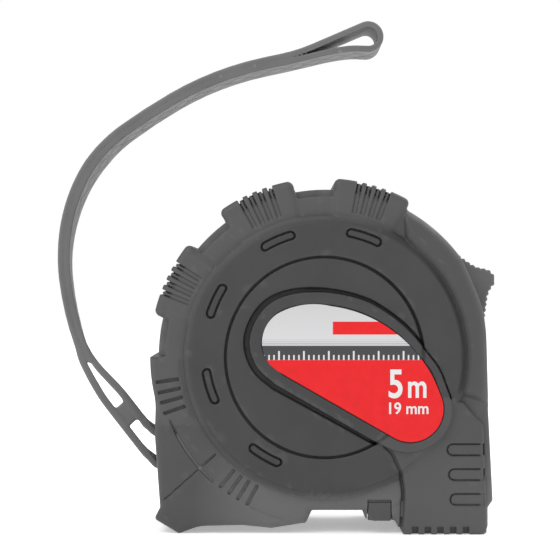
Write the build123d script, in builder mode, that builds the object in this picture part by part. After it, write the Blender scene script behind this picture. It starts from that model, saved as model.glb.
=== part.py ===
"""Pocket tape measure with a rubber-covered case, a thumb lock and a wrist strap.

Millimetres. +X is the way the blade leaves the mouth, +Z is up and the label
faces -Y. The case halves part at y = 0. The origin is the centre of the front
foot's flat underside, where the case stands.
"""

import os
from math import cos, radians, sin

from build123d import *

os.makedirs("parts", exist_ok=True)

# --- driving dimensions ---------------------------------------------------------
reel = (-23.1, 35.7)  # axis of the reel, as X and Z
running_gap = 0.06  # radial clearance of a running fit
moving_gap = 0.3  # clearance between bodies that slide past each other
seat_gap = 0.05  # clearance between pieces that rest on each other
slide_gap = 0.2  # clearance all round the brake button and the screw heads
beyond = 20.0  # past the outside of the case in Y

# bottom brake button
button_left = -14.5
button_right = -9.9
button_low = 2.6
button_top = 6.3
button_travel = 0.5
button_half = 15.0
button_plate = 1.0
button_cheek = 1.1
button_post_half = 4.0
button_post_top = 6.2
leaf_middle = 9.0  # centre of each return spring in Y
leaf_width = 3.0
leaf_thickness = 0.25
leaf_ends = (-14.2, -10.2)
leaf_crown = 5.0

# rubber covers
body_radius = 33.9
band_radius = 34.1
lug_radius = 36.1
channel_half = 6.5  # half width of the groove between the covers' rims
skin_half = 15.6
panel_half = 17.0
dial_half = 17.4
rim_half = 17.9
dial_radius = 28.7
dial_bevel = 1.2
lug_ranges = ((61.3, 25.9), (100.6, 25.8), (140.2, 25.8), (180.0, 21.0))
window_ranges = ((87.5, 12.8), (126.7, 13.2), (166.3, 13.4))  # bare shell between lugs
window_half = 9.0
groove_depth = 1.0
groove_shares = (-3.4, 0, 3.4)  # angles from a lug's middle
groove_sweep = 2.0
slot_centre = (-23.1, 36.9)
slot_radius = 24.35
slot_angles = (71.4, 113.4, 155.3, 196.9, 239.8)
slot_size = (7.2, 1.7)
slot_depth = 0.9
rim_width = 2.2
rim_rise = 1.5  # how far below the dial's face the rim starts
label_sink = 0.6
label_thickness = 0.4
grip_middle = 8.6
grip_heights = (7.1, 12.1, 17.1)
grip_size = (14.0, 2.5)
grip_depth = 0.8
notch_first = -5.7
notch_pitch = 2.55
notch_width = 1.3
notch_top = 2.0
notch_depth = 1.5

# hard case halves
shell_radius = 32.4
shell_wall = 1.8
cavity_radius = shell_radius - shell_wall
shell_half = 14.7
cavity_half = shell_half - shell_wall
front_x = 7.9
rear_x = -55.3
cavity_front = 5.8
cavity_rear = -53.6
foot_top = 1.8
heel_floor = 3.6
waist_floor = 5.3
step_x = 4.6  # the cavity's front, below the blade guide's top
step_top = 11.0
blade_floor = 6.85
blade_slot_top = 10.4
blade_slot_half = 10.1
stem_half = 4.3
socket_depth = 0.9
socket_ring = 2.5
track = (10.5, 18.0)  # start and sweep of the slot for the lock's neck, in degrees
track_half = 2.8

# fasteners: three bosses stand between the coil and the case wall
boss_radius = 2.0
boss_ring = 28.85
boss_spots = [
    (reel[0] + boss_ring * cos(radians(a)), reel[1] + boss_ring * sin(radians(a)))
    for a in (70, 135, 197)
]
boss_spots.append((5.5, 20.0))
screw_radius = 1.1
screw_head_radius = 1.85
screw_head = 1.4
screw_seat = 0.4  # how far the head's seat is outside the cavity
screw_tip = 9.0
thread_depth = 11.0
cross = (2.4, 0.6)  # recess in a screw's head
cross_depth = 0.7

# reel
spindle_radius = 3.5
drum_radius = 20.3
drum_wall = 1.1
drum_half = 9.6
blade_width = 19.0
blade_thickness = 0.25
blade_cup = 1.8  # how far the blade's edges rise above its middle
blade_low = 7.15  # underside of the blade's middle
coil_radius = 26.0  # 5 m wound at 0.158 mm a turn
spring_pitch = 1.45
spring_thickness = 0.6
spring_turns = 10
spring_slot = (0.9, 9.0)
spring_edge = 1.5  # from the drum's edge to the spring's
disc_thickness = 0.5
spacer_radius = 6.0

# straight blade and hook
blade_back = -52.0
blade_front = 7.0
rivet_spots = (-1.4, 3.8)
rivet_radius = 1.4
hook_play = 1.0
rivet_head = 0.9
rivet_head_height = 0.6
hook_sheet = 0.8
hook_low = 1.0
hook_width = 18.6
hook_corner = 1.2
tongue_width = 9.0
bumper_size = (18.0, 3.1, 0.8)
bumper_height = 3.55
guide_size = (24.4, 5.6)
guide_opening = (19.9, 5.0)
guide_height = 8.3
guide_opening_height = 7.8
guide_thickness = 1.6
mouth_back = 6.4
mouth_half = 10.6
mouth_top = 12.0

# thumb lock, which turns about the reel axis
lock_half = 6.0
lock_back = ((10.4, 42.4), (10.1, 45.2), (10.6, 48.6), (12.0, 50.6))
lock_ramp = ((12.0, 51.8), (11.0, 53.2), (8.3, 53.7), (5.6, 55.5), (3.4, 57.4))
lock_start = 10.9
lock_end = 38.7
serrations = 8
serration_radius = 0.3
neck_half = 2.4
neck = (19.0, 8.0)  # start and sweep, in degrees
arm_inner = 27.3
arm_outer = 28.75
arm_half = 5.0
arm_tip = -41.5
pad_reach = 36.4
pad_sweep = 3.2
pad_half = 4.0
pad_thickness = 1.6

# belt clip
clip_x = reel[0]
clip_width = 14.0
clip_sheet = 0.8
clip_gap = 3.2
clip_top = 60.0
clip_low = 19.0
clip_base_low = 29.0
clip_bow_top = 40.0
clip_pinch = 26.0  # height where the outer leaf comes nearest to the case
clip_pinch_depth = 1.6
clip_hole_radius = 1.7
clip_access_radius = 3.4
clip_screw_radius = 1.25
clip_screw_head = (2.8, 1.5)
clip_cross = (3.2, 0.7)

# wrist strap
strap_half = 5.75
layer = 1.25
strap_pin = (-52.5, 16.7)
pin_radius = 1.5
pocket = (-49.2, 10.2, 23.2)
pocket_half = 6.6
pocket_wall = 1.2
eye_radius = 2.9


def level(depth, side):
    """Plane parallel to the parting plane; side is 1 for the front, -1 for the rear."""
    return Plane.XZ.offset(side * depth)


def polar(radius, angle, centre=reel):
    """Point about the reel axis, or about another centre."""
    a = radians(angle)
    return (centre[0] + radius * cos(a), centre[1] + radius * sin(a))


def ring_sector(inner, outer, start, sweep):
    """Sketch of a sector of a ring about the reel axis."""
    with BuildSketch() as sector:
        with BuildLine():
            low = CenterArc(reel, inner, start, sweep)
            high = CenterArc(reel, outer, start, sweep)
            Line(low @ 0, high @ 0)
            Line(low @ 1, high @ 1)
        make_face()
    return sector.sketch


def rounded_profile(radius, start, corners):
    """Sketch of the case in profile: an arc about the reel, closed by straight walls."""
    with BuildSketch() as profile:
        with BuildLine():
            top = CenterArc(reel, radius, start, 180 - start)
            Polyline(top @ 1, *corners, top @ 0)
        make_face()
    return profile.sketch


cover_corners = [
    (-56.4, 4.9),
    (-57.6, 3.1),
    (-57.4, 2.6),
    (-53.2, 0),
    (-52.2, 0),
    (-50.0, 0.8),
    (-46.6, 1.3),
    (-35.0, 1.2),
    (-27.3, 2.2),
    (-25.9, 4.7),
    (-15.4, 4.7),
    (-15.0, 3.4),
    (-14.0, button_low),
    (-9.1, button_low),
    (-8.2, 0.7),
    (-7.2, 0),
    (8.2, 0),
    (9.8, 1.6),
    (9.8, 5.4),
    (10.7, 6.4),
    (10.7, 8.5),
    (9.8, 27.0),
    (9.5, 38.0),
    (9.1, 43.0),
    (7.9, 47.4),
    (6.2, 51.7),
]
cover_profile = rounded_profile(body_radius, 36, cover_corners)

shell_corners = [
    (rear_x, heel_floor),
    (-28.5, heel_floor),
    (-26.9, waist_floor),
    (-9.6, waist_floor),
    (-6.4, foot_top),
    (front_x, foot_top),
]
shell_profile = rounded_profile(shell_radius, 16.9, shell_corners)

cavity_corners = [
    (cavity_rear, blade_floor),
    (-7.0, blade_floor),
    (-5.4, waist_floor),
    (step_x, waist_floor),
    (step_x, step_top),
    (cavity_front, step_top),
]
cavity_profile = rounded_profile(cavity_radius, 19.2, cavity_corners)

with BuildSketch() as label_sketch:
    with BuildLine():
        Line((-33.6, 33.2), (-9.5, 19.4))
        ThreePointArc((-9.5, 19.4), (-1.4, 20.4), (0.1, 28.2))
        ThreePointArc((0.1, 28.2), (-8.7, 40.6), (-22.0, 46.2))
        ThreePointArc((-22.0, 46.2), (-28.0, 46.4), (-33.0, 44.6))
        ThreePointArc((-33.0, 44.6), (-36.1, 38.9), (-33.6, 33.2))
    make_face()
label_profile = label_sketch.sketch

with BuildSketch() as panel_sketch:
    with BuildLine():
        Polyline(
            (-12.5, 19.3),
            (-9.6, 16.1),
            (-8.0, 12.9),
            (-7.3, 8.6),
            (-7.6, 0.8),
            (-7.2, 0),
            (8.2, 0),
            (9.4, 1.6),
            (9.4, 5.6),
            (9.1, 8.5),
            (8.5, 21.9),
            (4.9, 24.3),
            (2.4, 27.1),
            (-4.0, 27.1),
            close=True,
        )
    make_face()
panel_profile = panel_sketch.sketch


# --- hard case halves -----------------------------------------------------------
def cut_box(low, high):
    """Take a box, given by two corners, out of the part in progress."""
    size = [b - a for a, b in zip(low, high)]
    middle = [(a + b) / 2 for a, b in zip(low, high)]
    with Locations(tuple(middle)):
        Box(*size, mode=Mode.SUBTRACT)


def add_box(low, high):
    """Add a box, given by two corners, to the part in progress."""
    size = [b - a for a, b in zip(low, high)]
    middle = [(a + b) / 2 for a, b in zip(low, high)]
    with Locations(tuple(middle)):
        Box(*size)


def cut_mouth_and_button():
    """The mouth's recess, and the slots that the brake button slides in."""
    cut_box((mouth_back, -mouth_half, -1), (14, mouth_half, mouth_top))
    low_x, high_x = button_left - slide_gap, button_right + slide_gap
    cheek_in = button_half - button_cheek - moving_gap
    cheek_top = button_top + button_travel + slide_gap
    for near, far in ((-beyond, -cheek_in), (cheek_in, beyond)):
        cut_box((low_x, near, 2), (high_x, far, cheek_top))
    cut_box((low_x, -cheek_in - 1, 2), (high_x, cheek_in + 1, waist_floor))


def shell_half_part(side):
    """One case half, with its bosses, spindle socket, strap pocket and mouth."""
    with BuildPart() as shell:
        with BuildSketch(level(0, side)):
            add(shell_profile)
        extrude(amount=side * shell_half)
        with BuildSketch(level(0, side)):
            add(cavity_profile)
        extrude(amount=side * cavity_half, mode=Mode.SUBTRACT)
        # bands that fill the windows between the cover's lugs
        with BuildSketch(level(0, side)):
            for start, sweep in window_ranges:
                add(ring_sector(shell_radius - 1, band_radius, start, sweep))
        extrude(amount=side * window_half)
        # screw bosses and a ring that seats the spindle
        with BuildSketch(level(0, side)):
            with Locations(*boss_spots):
                Circle(boss_radius)
        extrude(amount=side * (cavity_half + 0.5))
        with BuildSketch(level(cavity_half - 0.1, side)):
            with Locations(reel):
                Circle(spindle_radius + socket_ring)
        extrude(amount=side * 0.5)
        with BuildSketch(level(0, side)):
            with Locations(reel):
                Circle(spindle_radius)
        extrude(amount=side * (cavity_half + socket_depth), mode=Mode.SUBTRACT)
        # strap pocket, open to the rear, with a hole for its pin
        near, far = sorted((0, -side * (pocket_half + pocket_wall)))
        add_box(
            (rear_x, near, pocket[1] - pocket_wall),
            (pocket[0] + pocket_wall, far, pocket[2] + pocket_wall),
        )
        near, far = sorted((side, -side * pocket_half))
        cut_box((-60, near, pocket[1]), (pocket[0], far, pocket[2]))
        with BuildSketch(level(0, side)):
            with Locations(strap_pin):
                Circle(pin_radius)
        extrude(amount=side * (pocket_half + pocket_wall), mode=Mode.SUBTRACT)
        # mouth, blade slot, brake button slots and stem hole
        cut_mouth_and_button()
        cut_box(
            (step_x - 1.2, -blade_slot_half, waist_floor),
            (mouth_back + 1, blade_slot_half, blade_slot_top),
        )
        cut_box((button_left + 0.6, -stem_half, 4.0), (button_right - 0.6, stem_half, 8.0))
        # track for the thumb lock's neck
        with BuildSketch(level(-1, side)):
            add(ring_sector(arm_outer, shell_radius + 1, *track))
        extrude(amount=side * (track_half + 1), mode=Mode.SUBTRACT)
        # screw holes: threads in the front half, clearance and heads in the rear
        hole = screw_radius if side > 0 else screw_radius + slide_gap
        depth = thread_depth if side > 0 else shell_half + 1
        with BuildSketch(level(0, side)):
            with Locations(*boss_spots):
                Circle(hole)
        extrude(amount=side * depth, mode=Mode.SUBTRACT)
        if side < 0:
            with BuildSketch(level(cavity_half + screw_seat, side)):
                with Locations(*boss_spots):
                    Circle(screw_head_radius + slide_gap)
            extrude(amount=side * 4, mode=Mode.SUBTRACT)
            with BuildSketch(level(cavity_half, side)):
                with Locations(reel):
                    Circle(clip_hole_radius)
            extrude(amount=side * 3, mode=Mode.SUBTRACT)
    return shell.part


front_shell = shell_half_part(1)
front_shell.label = "front_shell"
export_step(front_shell, "parts/front_shell.step")

rear_shell = shell_half_part(-1)
rear_shell.label = "rear_shell"
export_step(rear_shell, "parts/rear_shell.step")


# --- rubber covers --------------------------------------------------------------
def cover_part(side):
    """One moulded cover: skin, rim, lugs, dial, front panel, foot and heel."""
    with BuildPart() as cover:
        # rim beside the channel, and the skin over the shell's flat
        with BuildSketch(level(channel_half, side)):
            add(cover_profile)
        extrude(amount=side * (skin_half - channel_half))
        # foot, heel and front wall wrap to the parting plane
        with BuildSketch(level(0, side)):
            add(cover_profile)
            with Locations((-22, 66)):
                Rectangle(90, 64, mode=Mode.SUBTRACT)
        extrude(amount=side * channel_half)
        # windows
        for start, sweep in window_ranges:
            with BuildSketch(level(0, side)):
                window = (start - 0.3, sweep + 0.6)
                add(ring_sector(shell_radius + seat_gap, body_radius + 1, *window))
            extrude(amount=side * (skin_half + 1), mode=Mode.SUBTRACT)
        # lugs bridge the channel
        for start, sweep in lug_ranges:
            with BuildSketch(level(0, side)):
                add(ring_sector(shell_radius - 1, lug_radius, start, sweep))
            extrude(amount=side * skin_half)
        # raised dial with a bevelled edge
        with BuildSketch(level(skin_half - 0.2, side)):
            with Locations(reel):
                Circle(dial_radius)
        extrude(amount=side * (dial_half - skin_half + 0.2), taper=30)
        # raised front panel
        with BuildSketch(level(skin_half - 0.2, side)):
            add(panel_profile)
        extrude(amount=side * (panel_half - skin_half + 0.2))
        if side > 0:
            with BuildSketch(level(dial_half - rim_rise, side)):
                add(label_profile)
                offset(amount=rim_width)
            extrude(amount=side * (rim_half - dial_half + rim_rise))
            with BuildSketch(level(rim_half - label_sink, side)):
                add(label_profile)
            extrude(amount=side * 1, mode=Mode.SUBTRACT)
        # room for the shell
        with BuildSketch(level(-1, side)):
            add(shell_profile)
            offset(amount=seat_gap)
        extrude(amount=side * (shell_half + seat_gap + 1), mode=Mode.SUBTRACT)
        # grooves across the lugs
        for start, sweep in lug_ranges:
            for share in groove_shares:
                with BuildSketch(level(-1, side)):
                    groove = (start + sweep / 2 + share - groove_sweep / 2, groove_sweep)
                    add(ring_sector(lug_radius - groove_depth, lug_radius + 1, *groove))
                extrude(amount=side * (skin_half + 2), mode=Mode.SUBTRACT)
        # vent slots on the dial
        for angle in slot_angles:
            with BuildSketch(level(dial_half - slot_depth, side)):
                with Locations(polar(slot_radius, angle, slot_centre)):
                    SlotOverall(*slot_size, rotation=angle + 90)
            extrude(amount=side * (slot_depth + 1), mode=Mode.SUBTRACT)
        # finger grips, open to the front
        for height in grip_heights:
            with BuildSketch(level(panel_half - grip_depth, side)):
                with Locations((grip_middle, height)):
                    SlotOverall(*grip_size)
            extrude(amount=side * (grip_depth + 1), mode=Mode.SUBTRACT)
        # notches along the foot's outer edge
        for step in range(5):
            left = notch_first + notch_pitch * step
            near, far = sorted((-side * (panel_half - notch_depth), -side * beyond))
            cut_box((left, near, -1), (left + notch_width, far, notch_top))
        cut_mouth_and_button()
        near, far = sorted((side, -side * pocket_half))
        cut_box((-60, near, pocket[1]), (pocket[0], far, pocket[2]))
        if side < 0:
            with BuildSketch(level(shell_half - 1, side)):
                with Locations(*boss_spots):
                    Circle(screw_head_radius + slide_gap)
                with Locations(reel):
                    Circle(clip_hole_radius + moving_gap)
            extrude(amount=side * 5, mode=Mode.SUBTRACT)
    return cover.part


front_cover = cover_part(1)
front_cover.label = "front_cover"
export_step(front_cover, "parts/front_cover.step")

rear_cover = cover_part(-1)
rear_cover.label = "rear_cover"
export_step(rear_cover, "parts/rear_cover.step")

with BuildPart() as front_label:
    with BuildSketch(level(rim_half - label_sink, 1)):
        add(label_profile)
        offset(amount=-slide_gap)
    extrude(amount=label_thickness)
front_label.part.label = "front_label"
export_step(front_label.part, "parts/front_label.step")

# --- fasteners and pins ---------------------------------------------------------
with BuildPart() as case_screws:
    with BuildSketch(level(cavity_half + screw_seat, -1)):
        with Locations(*boss_spots):
            Circle(screw_head_radius)
    extrude(amount=-screw_head)
    with BuildSketch(level(-screw_tip, -1)):
        with Locations(*boss_spots):
            Circle(screw_radius - seat_gap)
    extrude(amount=-(cavity_half + screw_seat + screw_tip))
    with BuildSketch(level(cavity_half + screw_seat + cross_depth, -1)):
        with Locations(*boss_spots):
            Rectangle(*cross)
            Rectangle(*cross, rotation=90)
    extrude(amount=-2, mode=Mode.SUBTRACT)
case_screws.part.label = "case_screws"
export_step(case_screws.part, "parts/case_screws.step")

with BuildPart() as strap_pin_part:
    with BuildSketch(level(-(pocket_half + pocket_wall), 1)):
        with Locations(strap_pin):
            Circle(pin_radius)
    extrude(amount=2 * (pocket_half + pocket_wall))
strap_pin_part.part.label = "strap_pin"
export_step(strap_pin_part.part, "parts/strap_pin.step")

# --- reel -----------------------------------------------------------------------
spindle_half = cavity_half + socket_depth
spring_half = drum_half - spring_edge
with BuildPart() as spindle:
    with BuildSketch(level(-spindle_half, 1)):
        with Locations(reel):
            Circle(spindle_radius)
    extrude(amount=2 * spindle_half)
    # slot that holds the mainspring's inner end
    with BuildSketch(level(-spring_half, 1)):
        with Locations(reel):
            Rectangle(*spring_slot)
    extrude(amount=2 * spring_half, mode=Mode.SUBTRACT)
    # thread for the clip screw
    with BuildSketch(level(spindle_half - 5, -1)):
        with Locations(reel):
            Circle(clip_screw_radius)
    extrude(amount=-6, mode=Mode.SUBTRACT)
spindle.part.label = "spindle"
export_step(spindle.part, "parts/spindle.step")

with BuildPart() as spool_drum:
    with BuildSketch(level(-drum_half + drum_wall, 1)):
        with Locations(reel):
            Circle(drum_radius)
    extrude(amount=2 * drum_half - drum_wall)
    with BuildSketch(level(-drum_half, 1)):
        with Locations(reel):
            Circle(drum_radius - drum_wall)
    extrude(amount=2 * drum_half - drum_wall, mode=Mode.SUBTRACT)
    with BuildSketch(level(-drum_half, 1)):
        with Locations(reel):
            Circle(spindle_radius + running_gap)
    extrude(amount=2 * drum_half + 1, mode=Mode.SUBTRACT)
spool_drum.part.label = "spool_drum"
export_step(spool_drum.part, "parts/spool_drum.step")

with BuildPart() as spool_lid:
    with BuildSketch(level(-drum_half, 1)):
        with Locations(reel):
            Circle(drum_radius)
            Circle(spindle_radius + running_gap, mode=Mode.SUBTRACT)
    extrude(amount=drum_wall)
spool_lid.part.label = "spool_lid"
export_step(spool_lid.part, "parts/spool_lid.step")

with BuildPart() as side_discs:
    for side in (1, -1):
        with BuildSketch(level(drum_half + seat_gap, side)):
            with Locations(reel):
                Circle(coil_radius + 0.2)
                Circle(spindle_radius + 0.5, mode=Mode.SUBTRACT)
        extrude(amount=side * disc_thickness)
side_discs.part.label = "side_discs"
export_step(side_discs.part, "parts/side_discs.step")

with BuildPart() as spool_spacers:
    for side in (1, -1):
        with BuildSketch(level(drum_half + 0.8, side)):
            with Locations(reel):
                Circle(spacer_radius)
                Circle(spindle_radius + 0.02, mode=Mode.SUBTRACT)
        extrude(amount=side * (cavity_half - drum_half - 0.95))
spool_spacers.part.label = "spool_spacers"
export_step(spool_spacers.part, "parts/spool_spacers.step")

with BuildPart() as blade_coil:
    with BuildSketch(level(-blade_width / 2, 1)):
        with Locations(reel):
            Circle(coil_radius)
            Circle(drum_radius, mode=Mode.SUBTRACT)
    extrude(amount=blade_width)
blade_coil.part.label = "blade_coil"
export_step(blade_coil.part, "parts/blade_coil.step")


def spiral(first_radius):
    """Half circles whose radius grows, end to end; gives the two ends."""
    last = None
    start = (reel[0] + first_radius, reel[1])
    for half_turn in range(2 * spring_turns):
        radius = first_radius + half_turn * spring_pitch / 2
        shift = (half_turn % 2) * spring_pitch / 2
        middle = (reel[0] + shift, reel[1])
        last = CenterArc(middle, radius, 180 * (half_turn % 2), 180)
    return start, last @ 1


with BuildPart() as mainspring:
    with BuildSketch(level(-spring_half, 1)):
        with BuildLine():
            inner_ends = spiral(spindle_radius + 0.15)
            outer_ends = spiral(spindle_radius + 0.15 + spring_thickness)
            Line(inner_ends[0], outer_ends[0])
            Line(inner_ends[1], outer_ends[1])
        make_face()
    extrude(amount=2 * spring_half)
mainspring.part.label = "mainspring"
export_step(mainspring.part, "parts/mainspring.step")

# --- blade and hook -------------------------------------------------------------
edge_low = blade_low + blade_cup
with BuildPart() as blade:
    with BuildSketch(Plane.YZ.offset(blade_back)):
        with BuildLine():
            half = blade_width / 2
            under = ThreePointArc((-half, edge_low), (0, blade_low), (half, edge_low))
            over = ThreePointArc(
                (-half, edge_low + blade_thickness),
                (0, blade_low + blade_thickness),
                (half, edge_low + blade_thickness),
            )
            Line(under @ 0, over @ 0)
            Line(under @ 1, over @ 1)
        make_face()
    extrude(amount=blade_front - blade_back)
    with BuildSketch(Plane.XY.offset(blade_low - 1)):
        with Locations(*[(x, 0) for x in rivet_spots]):
            Circle(rivet_radius)
    extrude(amount=3, mode=Mode.SUBTRACT)
blade.part.label = "blade"
export_step(blade.part, "parts/blade.step")

tongue_top = blade_low - 0.1
tongue_low = tongue_top - hook_sheet
with BuildPart() as hook_rivets:
    for x in rivet_spots:
        with BuildSketch(Plane.XY.offset(tongue_low - 0.7)):
            with Locations((x, 0)):
                Circle(rivet_radius)
        extrude(amount=3.2)
        with BuildSketch(Plane.XY.offset(tongue_low - 0.7)):
            with Locations((x, 0)):
                Circle(rivet_radius + rivet_head)
        extrude(amount=rivet_head_height)
        with BuildSketch(Plane.XY.offset(blade_low + blade_thickness + 0.12)):
            with Locations((x, 0)):
                Circle(rivet_radius + rivet_head)
        extrude(amount=rivet_head_height)
hook_rivets.part.label = "hook_rivets"
export_step(hook_rivets.part, "parts/hook_rivets.step")

hook_face = blade_front + 0.3
tongue_back = rivet_spots[0] - 2.8
with BuildPart() as end_hook:
    with BuildSketch(Plane.XY.offset(tongue_low)):
        with Locations(((hook_face + tongue_back) / 2, 0)):
            Rectangle(hook_face - tongue_back, tongue_width)
        for x in rivet_spots:
            with Locations((x - hook_play / 2, 0)):
                radius = rivet_radius + running_gap
                SlotOverall(2 * radius + hook_play, 2 * radius, mode=Mode.SUBTRACT)
    extrude(amount=tongue_top - tongue_low)
    with BuildSketch(Plane.YZ.offset(hook_face)):
        with Locations((0, (hook_low + tongue_top) / 2)):
            RectangleRounded(hook_width, tongue_top - hook_low, hook_corner)
    extrude(amount=hook_sheet)
end_hook.part.label = "end_hook"
export_step(end_hook.part, "parts/end_hook.step")

with BuildPart() as mouth_bumper:
    with BuildSketch(Plane.YZ.offset(mouth_back)):
        with Locations((0, bumper_height)):
            RectangleRounded(*bumper_size)
    extrude(amount=hook_face - mouth_back - moving_gap)
mouth_bumper.part.label = "mouth_bumper"
export_step(mouth_bumper.part, "parts/mouth_bumper.step")

with BuildPart() as blade_guide:
    with BuildSketch(Plane.YZ.offset(step_x - 1.7)):
        with Locations((0, guide_height)):
            Rectangle(*guide_size)
        with Locations((0, guide_opening_height)):
            Rectangle(*guide_opening, mode=Mode.SUBTRACT)
        # gap for the lock's pad
        with Locations((0, step_top)):
            Rectangle(2 * arm_half, 3, mode=Mode.SUBTRACT)
    extrude(amount=guide_thickness)
blade_guide.part.label = "blade_guide"
export_step(blade_guide.part, "parts/blade_guide.step")

# --- thumb lock -----------------------------------------------------------------
lock_sole = shell_radius + moving_gap
with BuildPart() as thumb_lock:
    with BuildSketch(level(-lock_half, 1)):
        with BuildLine():
            sole = CenterArc(reel, lock_sole, lock_start, lock_end - lock_start)
            Polyline(
                sole @ 0,
                *lock_back,
                *lock_ramp,
                sole @ 1,
            )
        make_face()
    extrude(amount=2 * lock_half)
    # serrations over the thumb's slopes
    for slope in (lock_back, lock_ramp):
        with BuildLine(mode=Mode.PRIVATE) as edge:
            Polyline(*slope)
        for share in range(serrations):
            spot = edge.line @ ((share + 0.5) / serrations)
            with BuildSketch(level(-lock_half, 1)):
                with Locations((spot.X, spot.Y)):
                    Circle(serration_radius)
            extrude(amount=2 * lock_half, mode=Mode.SUBTRACT)
    # neck through the case, arm along the wall and the wedge over the blade
    with BuildSketch(level(-neck_half, 1)):
        add(ring_sector(arm_inner, lock_sole + 0.5, *neck))
    extrude(amount=2 * neck_half)
    with BuildSketch(level(-arm_half, 1)):
        add(ring_sector(arm_inner, arm_outer - 0.15, arm_tip, sum(neck) - arm_tip))
    extrude(amount=2 * arm_half)
    with BuildSketch(level(-pad_half, 1)):
        add(ring_sector(arm_inner, pad_reach - pad_thickness, arm_tip, pad_sweep))
    extrude(amount=2 * pad_half)
thumb_lock.part.label = "thumb_lock"
export_step(thumb_lock.part, "parts/thumb_lock.step")

with BuildPart() as lock_pad:
    with BuildSketch(level(-pad_half, 1)):
        add(ring_sector(pad_reach - pad_thickness, pad_reach, arm_tip, pad_sweep))
    extrude(amount=2 * pad_half)
lock_pad.part.label = "lock_pad"
export_step(lock_pad.part, "parts/lock_pad.step")

# --- bottom brake button --------------------------------------------------------
cheek_half = button_half - button_cheek
with BuildPart() as brake_button:
    add_box(
        (button_left, -button_half, button_low),
        (button_right, button_half, button_low + button_plate),
    )
    for near, far in ((-button_half, -cheek_half), (cheek_half, button_half)):
        add_box((button_left, near, button_low), (button_right, far, button_top))
    add_box(
        (button_left + 0.9, -button_post_half, button_low),
        (button_right - 0.9, button_post_half, button_post_top),
    )
brake_button.part.label = "brake_button"
export_step(brake_button.part, "parts/brake_button.step")

leaf_low = button_low + button_plate + seat_gap


def leaf_arc(rise):
    """One face of a bowed leaf spring, raised by an amount."""
    left, right = leaf_ends
    foot = leaf_low + rise
    return ThreePointArc((left, foot), ((left + right) / 2, leaf_crown + rise), (right, foot))


with BuildPart() as brake_spring:
    for side in (1, -1):
        with BuildSketch(Plane.XZ.offset(side * leaf_middle - leaf_width / 2)):
            with BuildLine():
                low = leaf_arc(0)
                high = leaf_arc(leaf_thickness)
                Line(low @ 0, high @ 0)
                Line(low @ 1, high @ 1)
            make_face()
        extrude(amount=leaf_width)
brake_spring.part.label = "brake_spring"
export_step(brake_spring.part, "parts/brake_spring.step")

# --- belt clip ------------------------------------------------------------------
seat = dial_half + seat_gap
outer_y = seat + 2 * clip_sheet + clip_gap
bend = clip_gap / 2 + clip_sheet
with BuildPart() as belt_clip:
    with BuildSketch(Plane.YZ.offset(clip_x - clip_width / 2)):
        with BuildLine():
            Polyline(
                (seat, clip_top),
                (seat, clip_base_low),
                (seat + clip_sheet, clip_base_low),
                (seat + clip_sheet, clip_top),
            )
            RadiusArc((seat + clip_sheet, clip_top), (outer_y - clip_sheet, clip_top), clip_gap / 2)
            Polyline(
                (outer_y - clip_sheet, clip_top),
                (outer_y - clip_sheet, clip_bow_top),
                (outer_y - clip_sheet - clip_pinch_depth, clip_pinch),
                (outer_y - clip_sheet, clip_low),
                (outer_y, clip_low),
                (outer_y - clip_pinch_depth, clip_pinch),
                (outer_y, clip_bow_top),
                (outer_y, clip_top),
            )
            RadiusArc((outer_y, clip_top), (seat, clip_top), -bend)
        make_face()
    extrude(amount=clip_width)
    # screw hole in the base, and a way to it through the outer leaf
    with BuildSketch(level(seat - 1, -1)):
        with Locations(reel):
            Circle(clip_hole_radius)
    extrude(amount=-2.5, mode=Mode.SUBTRACT)
    with BuildSketch(level(outer_y - 2, -1)):
        with Locations(reel):
            Circle(clip_access_radius)
    extrude(amount=-4, mode=Mode.SUBTRACT)
belt_clip.part.label = "belt_clip"
export_step(belt_clip.part, "parts/belt_clip.step")

with BuildPart() as clip_screw:
    with BuildSketch(level(seat + clip_sheet, -1)):
        with Locations(reel):
            Circle(clip_screw_head[0])
    extrude(amount=-clip_screw_head[1])
    with BuildSketch(level(spindle_half - 4, -1)):
        with Locations(reel):
            Circle(clip_screw_radius)
    extrude(amount=-(seat + clip_sheet - spindle_half + 4.2))
    with BuildSketch(level(seat + clip_sheet + clip_screw_head[1] - cross_depth, -1)):
        with Locations(reel):
            Rectangle(*clip_cross)
            Rectangle(*clip_cross, rotation=90)
    extrude(amount=-2, mode=Mode.SUBTRACT)
clip_screw.part.label = "clip_screw"
export_step(clip_screw.part, "parts/clip_screw.step")

# --- wrist strap ----------------------------------------------------------------
# The band is folded double at its far end. Each bend is a radius and an angle.
band_start = (-73.7, 38.1)
band_heading = 108.9
band_bends = ((68.0, -12.0), (34.5, -30.5), (29.9, -30.3), (116.6, -5.9), (64.0, -18.2))
band_run = 4.0
fold_rise = (33.0, 11.2)  # radius and angle where the outer layer leaves the inner
fold_ramp = 11.4
fold_radius = 2.55


def band_line(bends, start, heading):
    """Arcs end to end, each tangent to the one before."""
    direction = (cos(radians(heading)), sin(radians(heading)))
    piece = None
    for radius, angle in bends:
        if piece is not None:
            start, direction = piece @ 1, piece % 1
        piece = JernArc(start, direction, radius, angle)
    return piece


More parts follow.
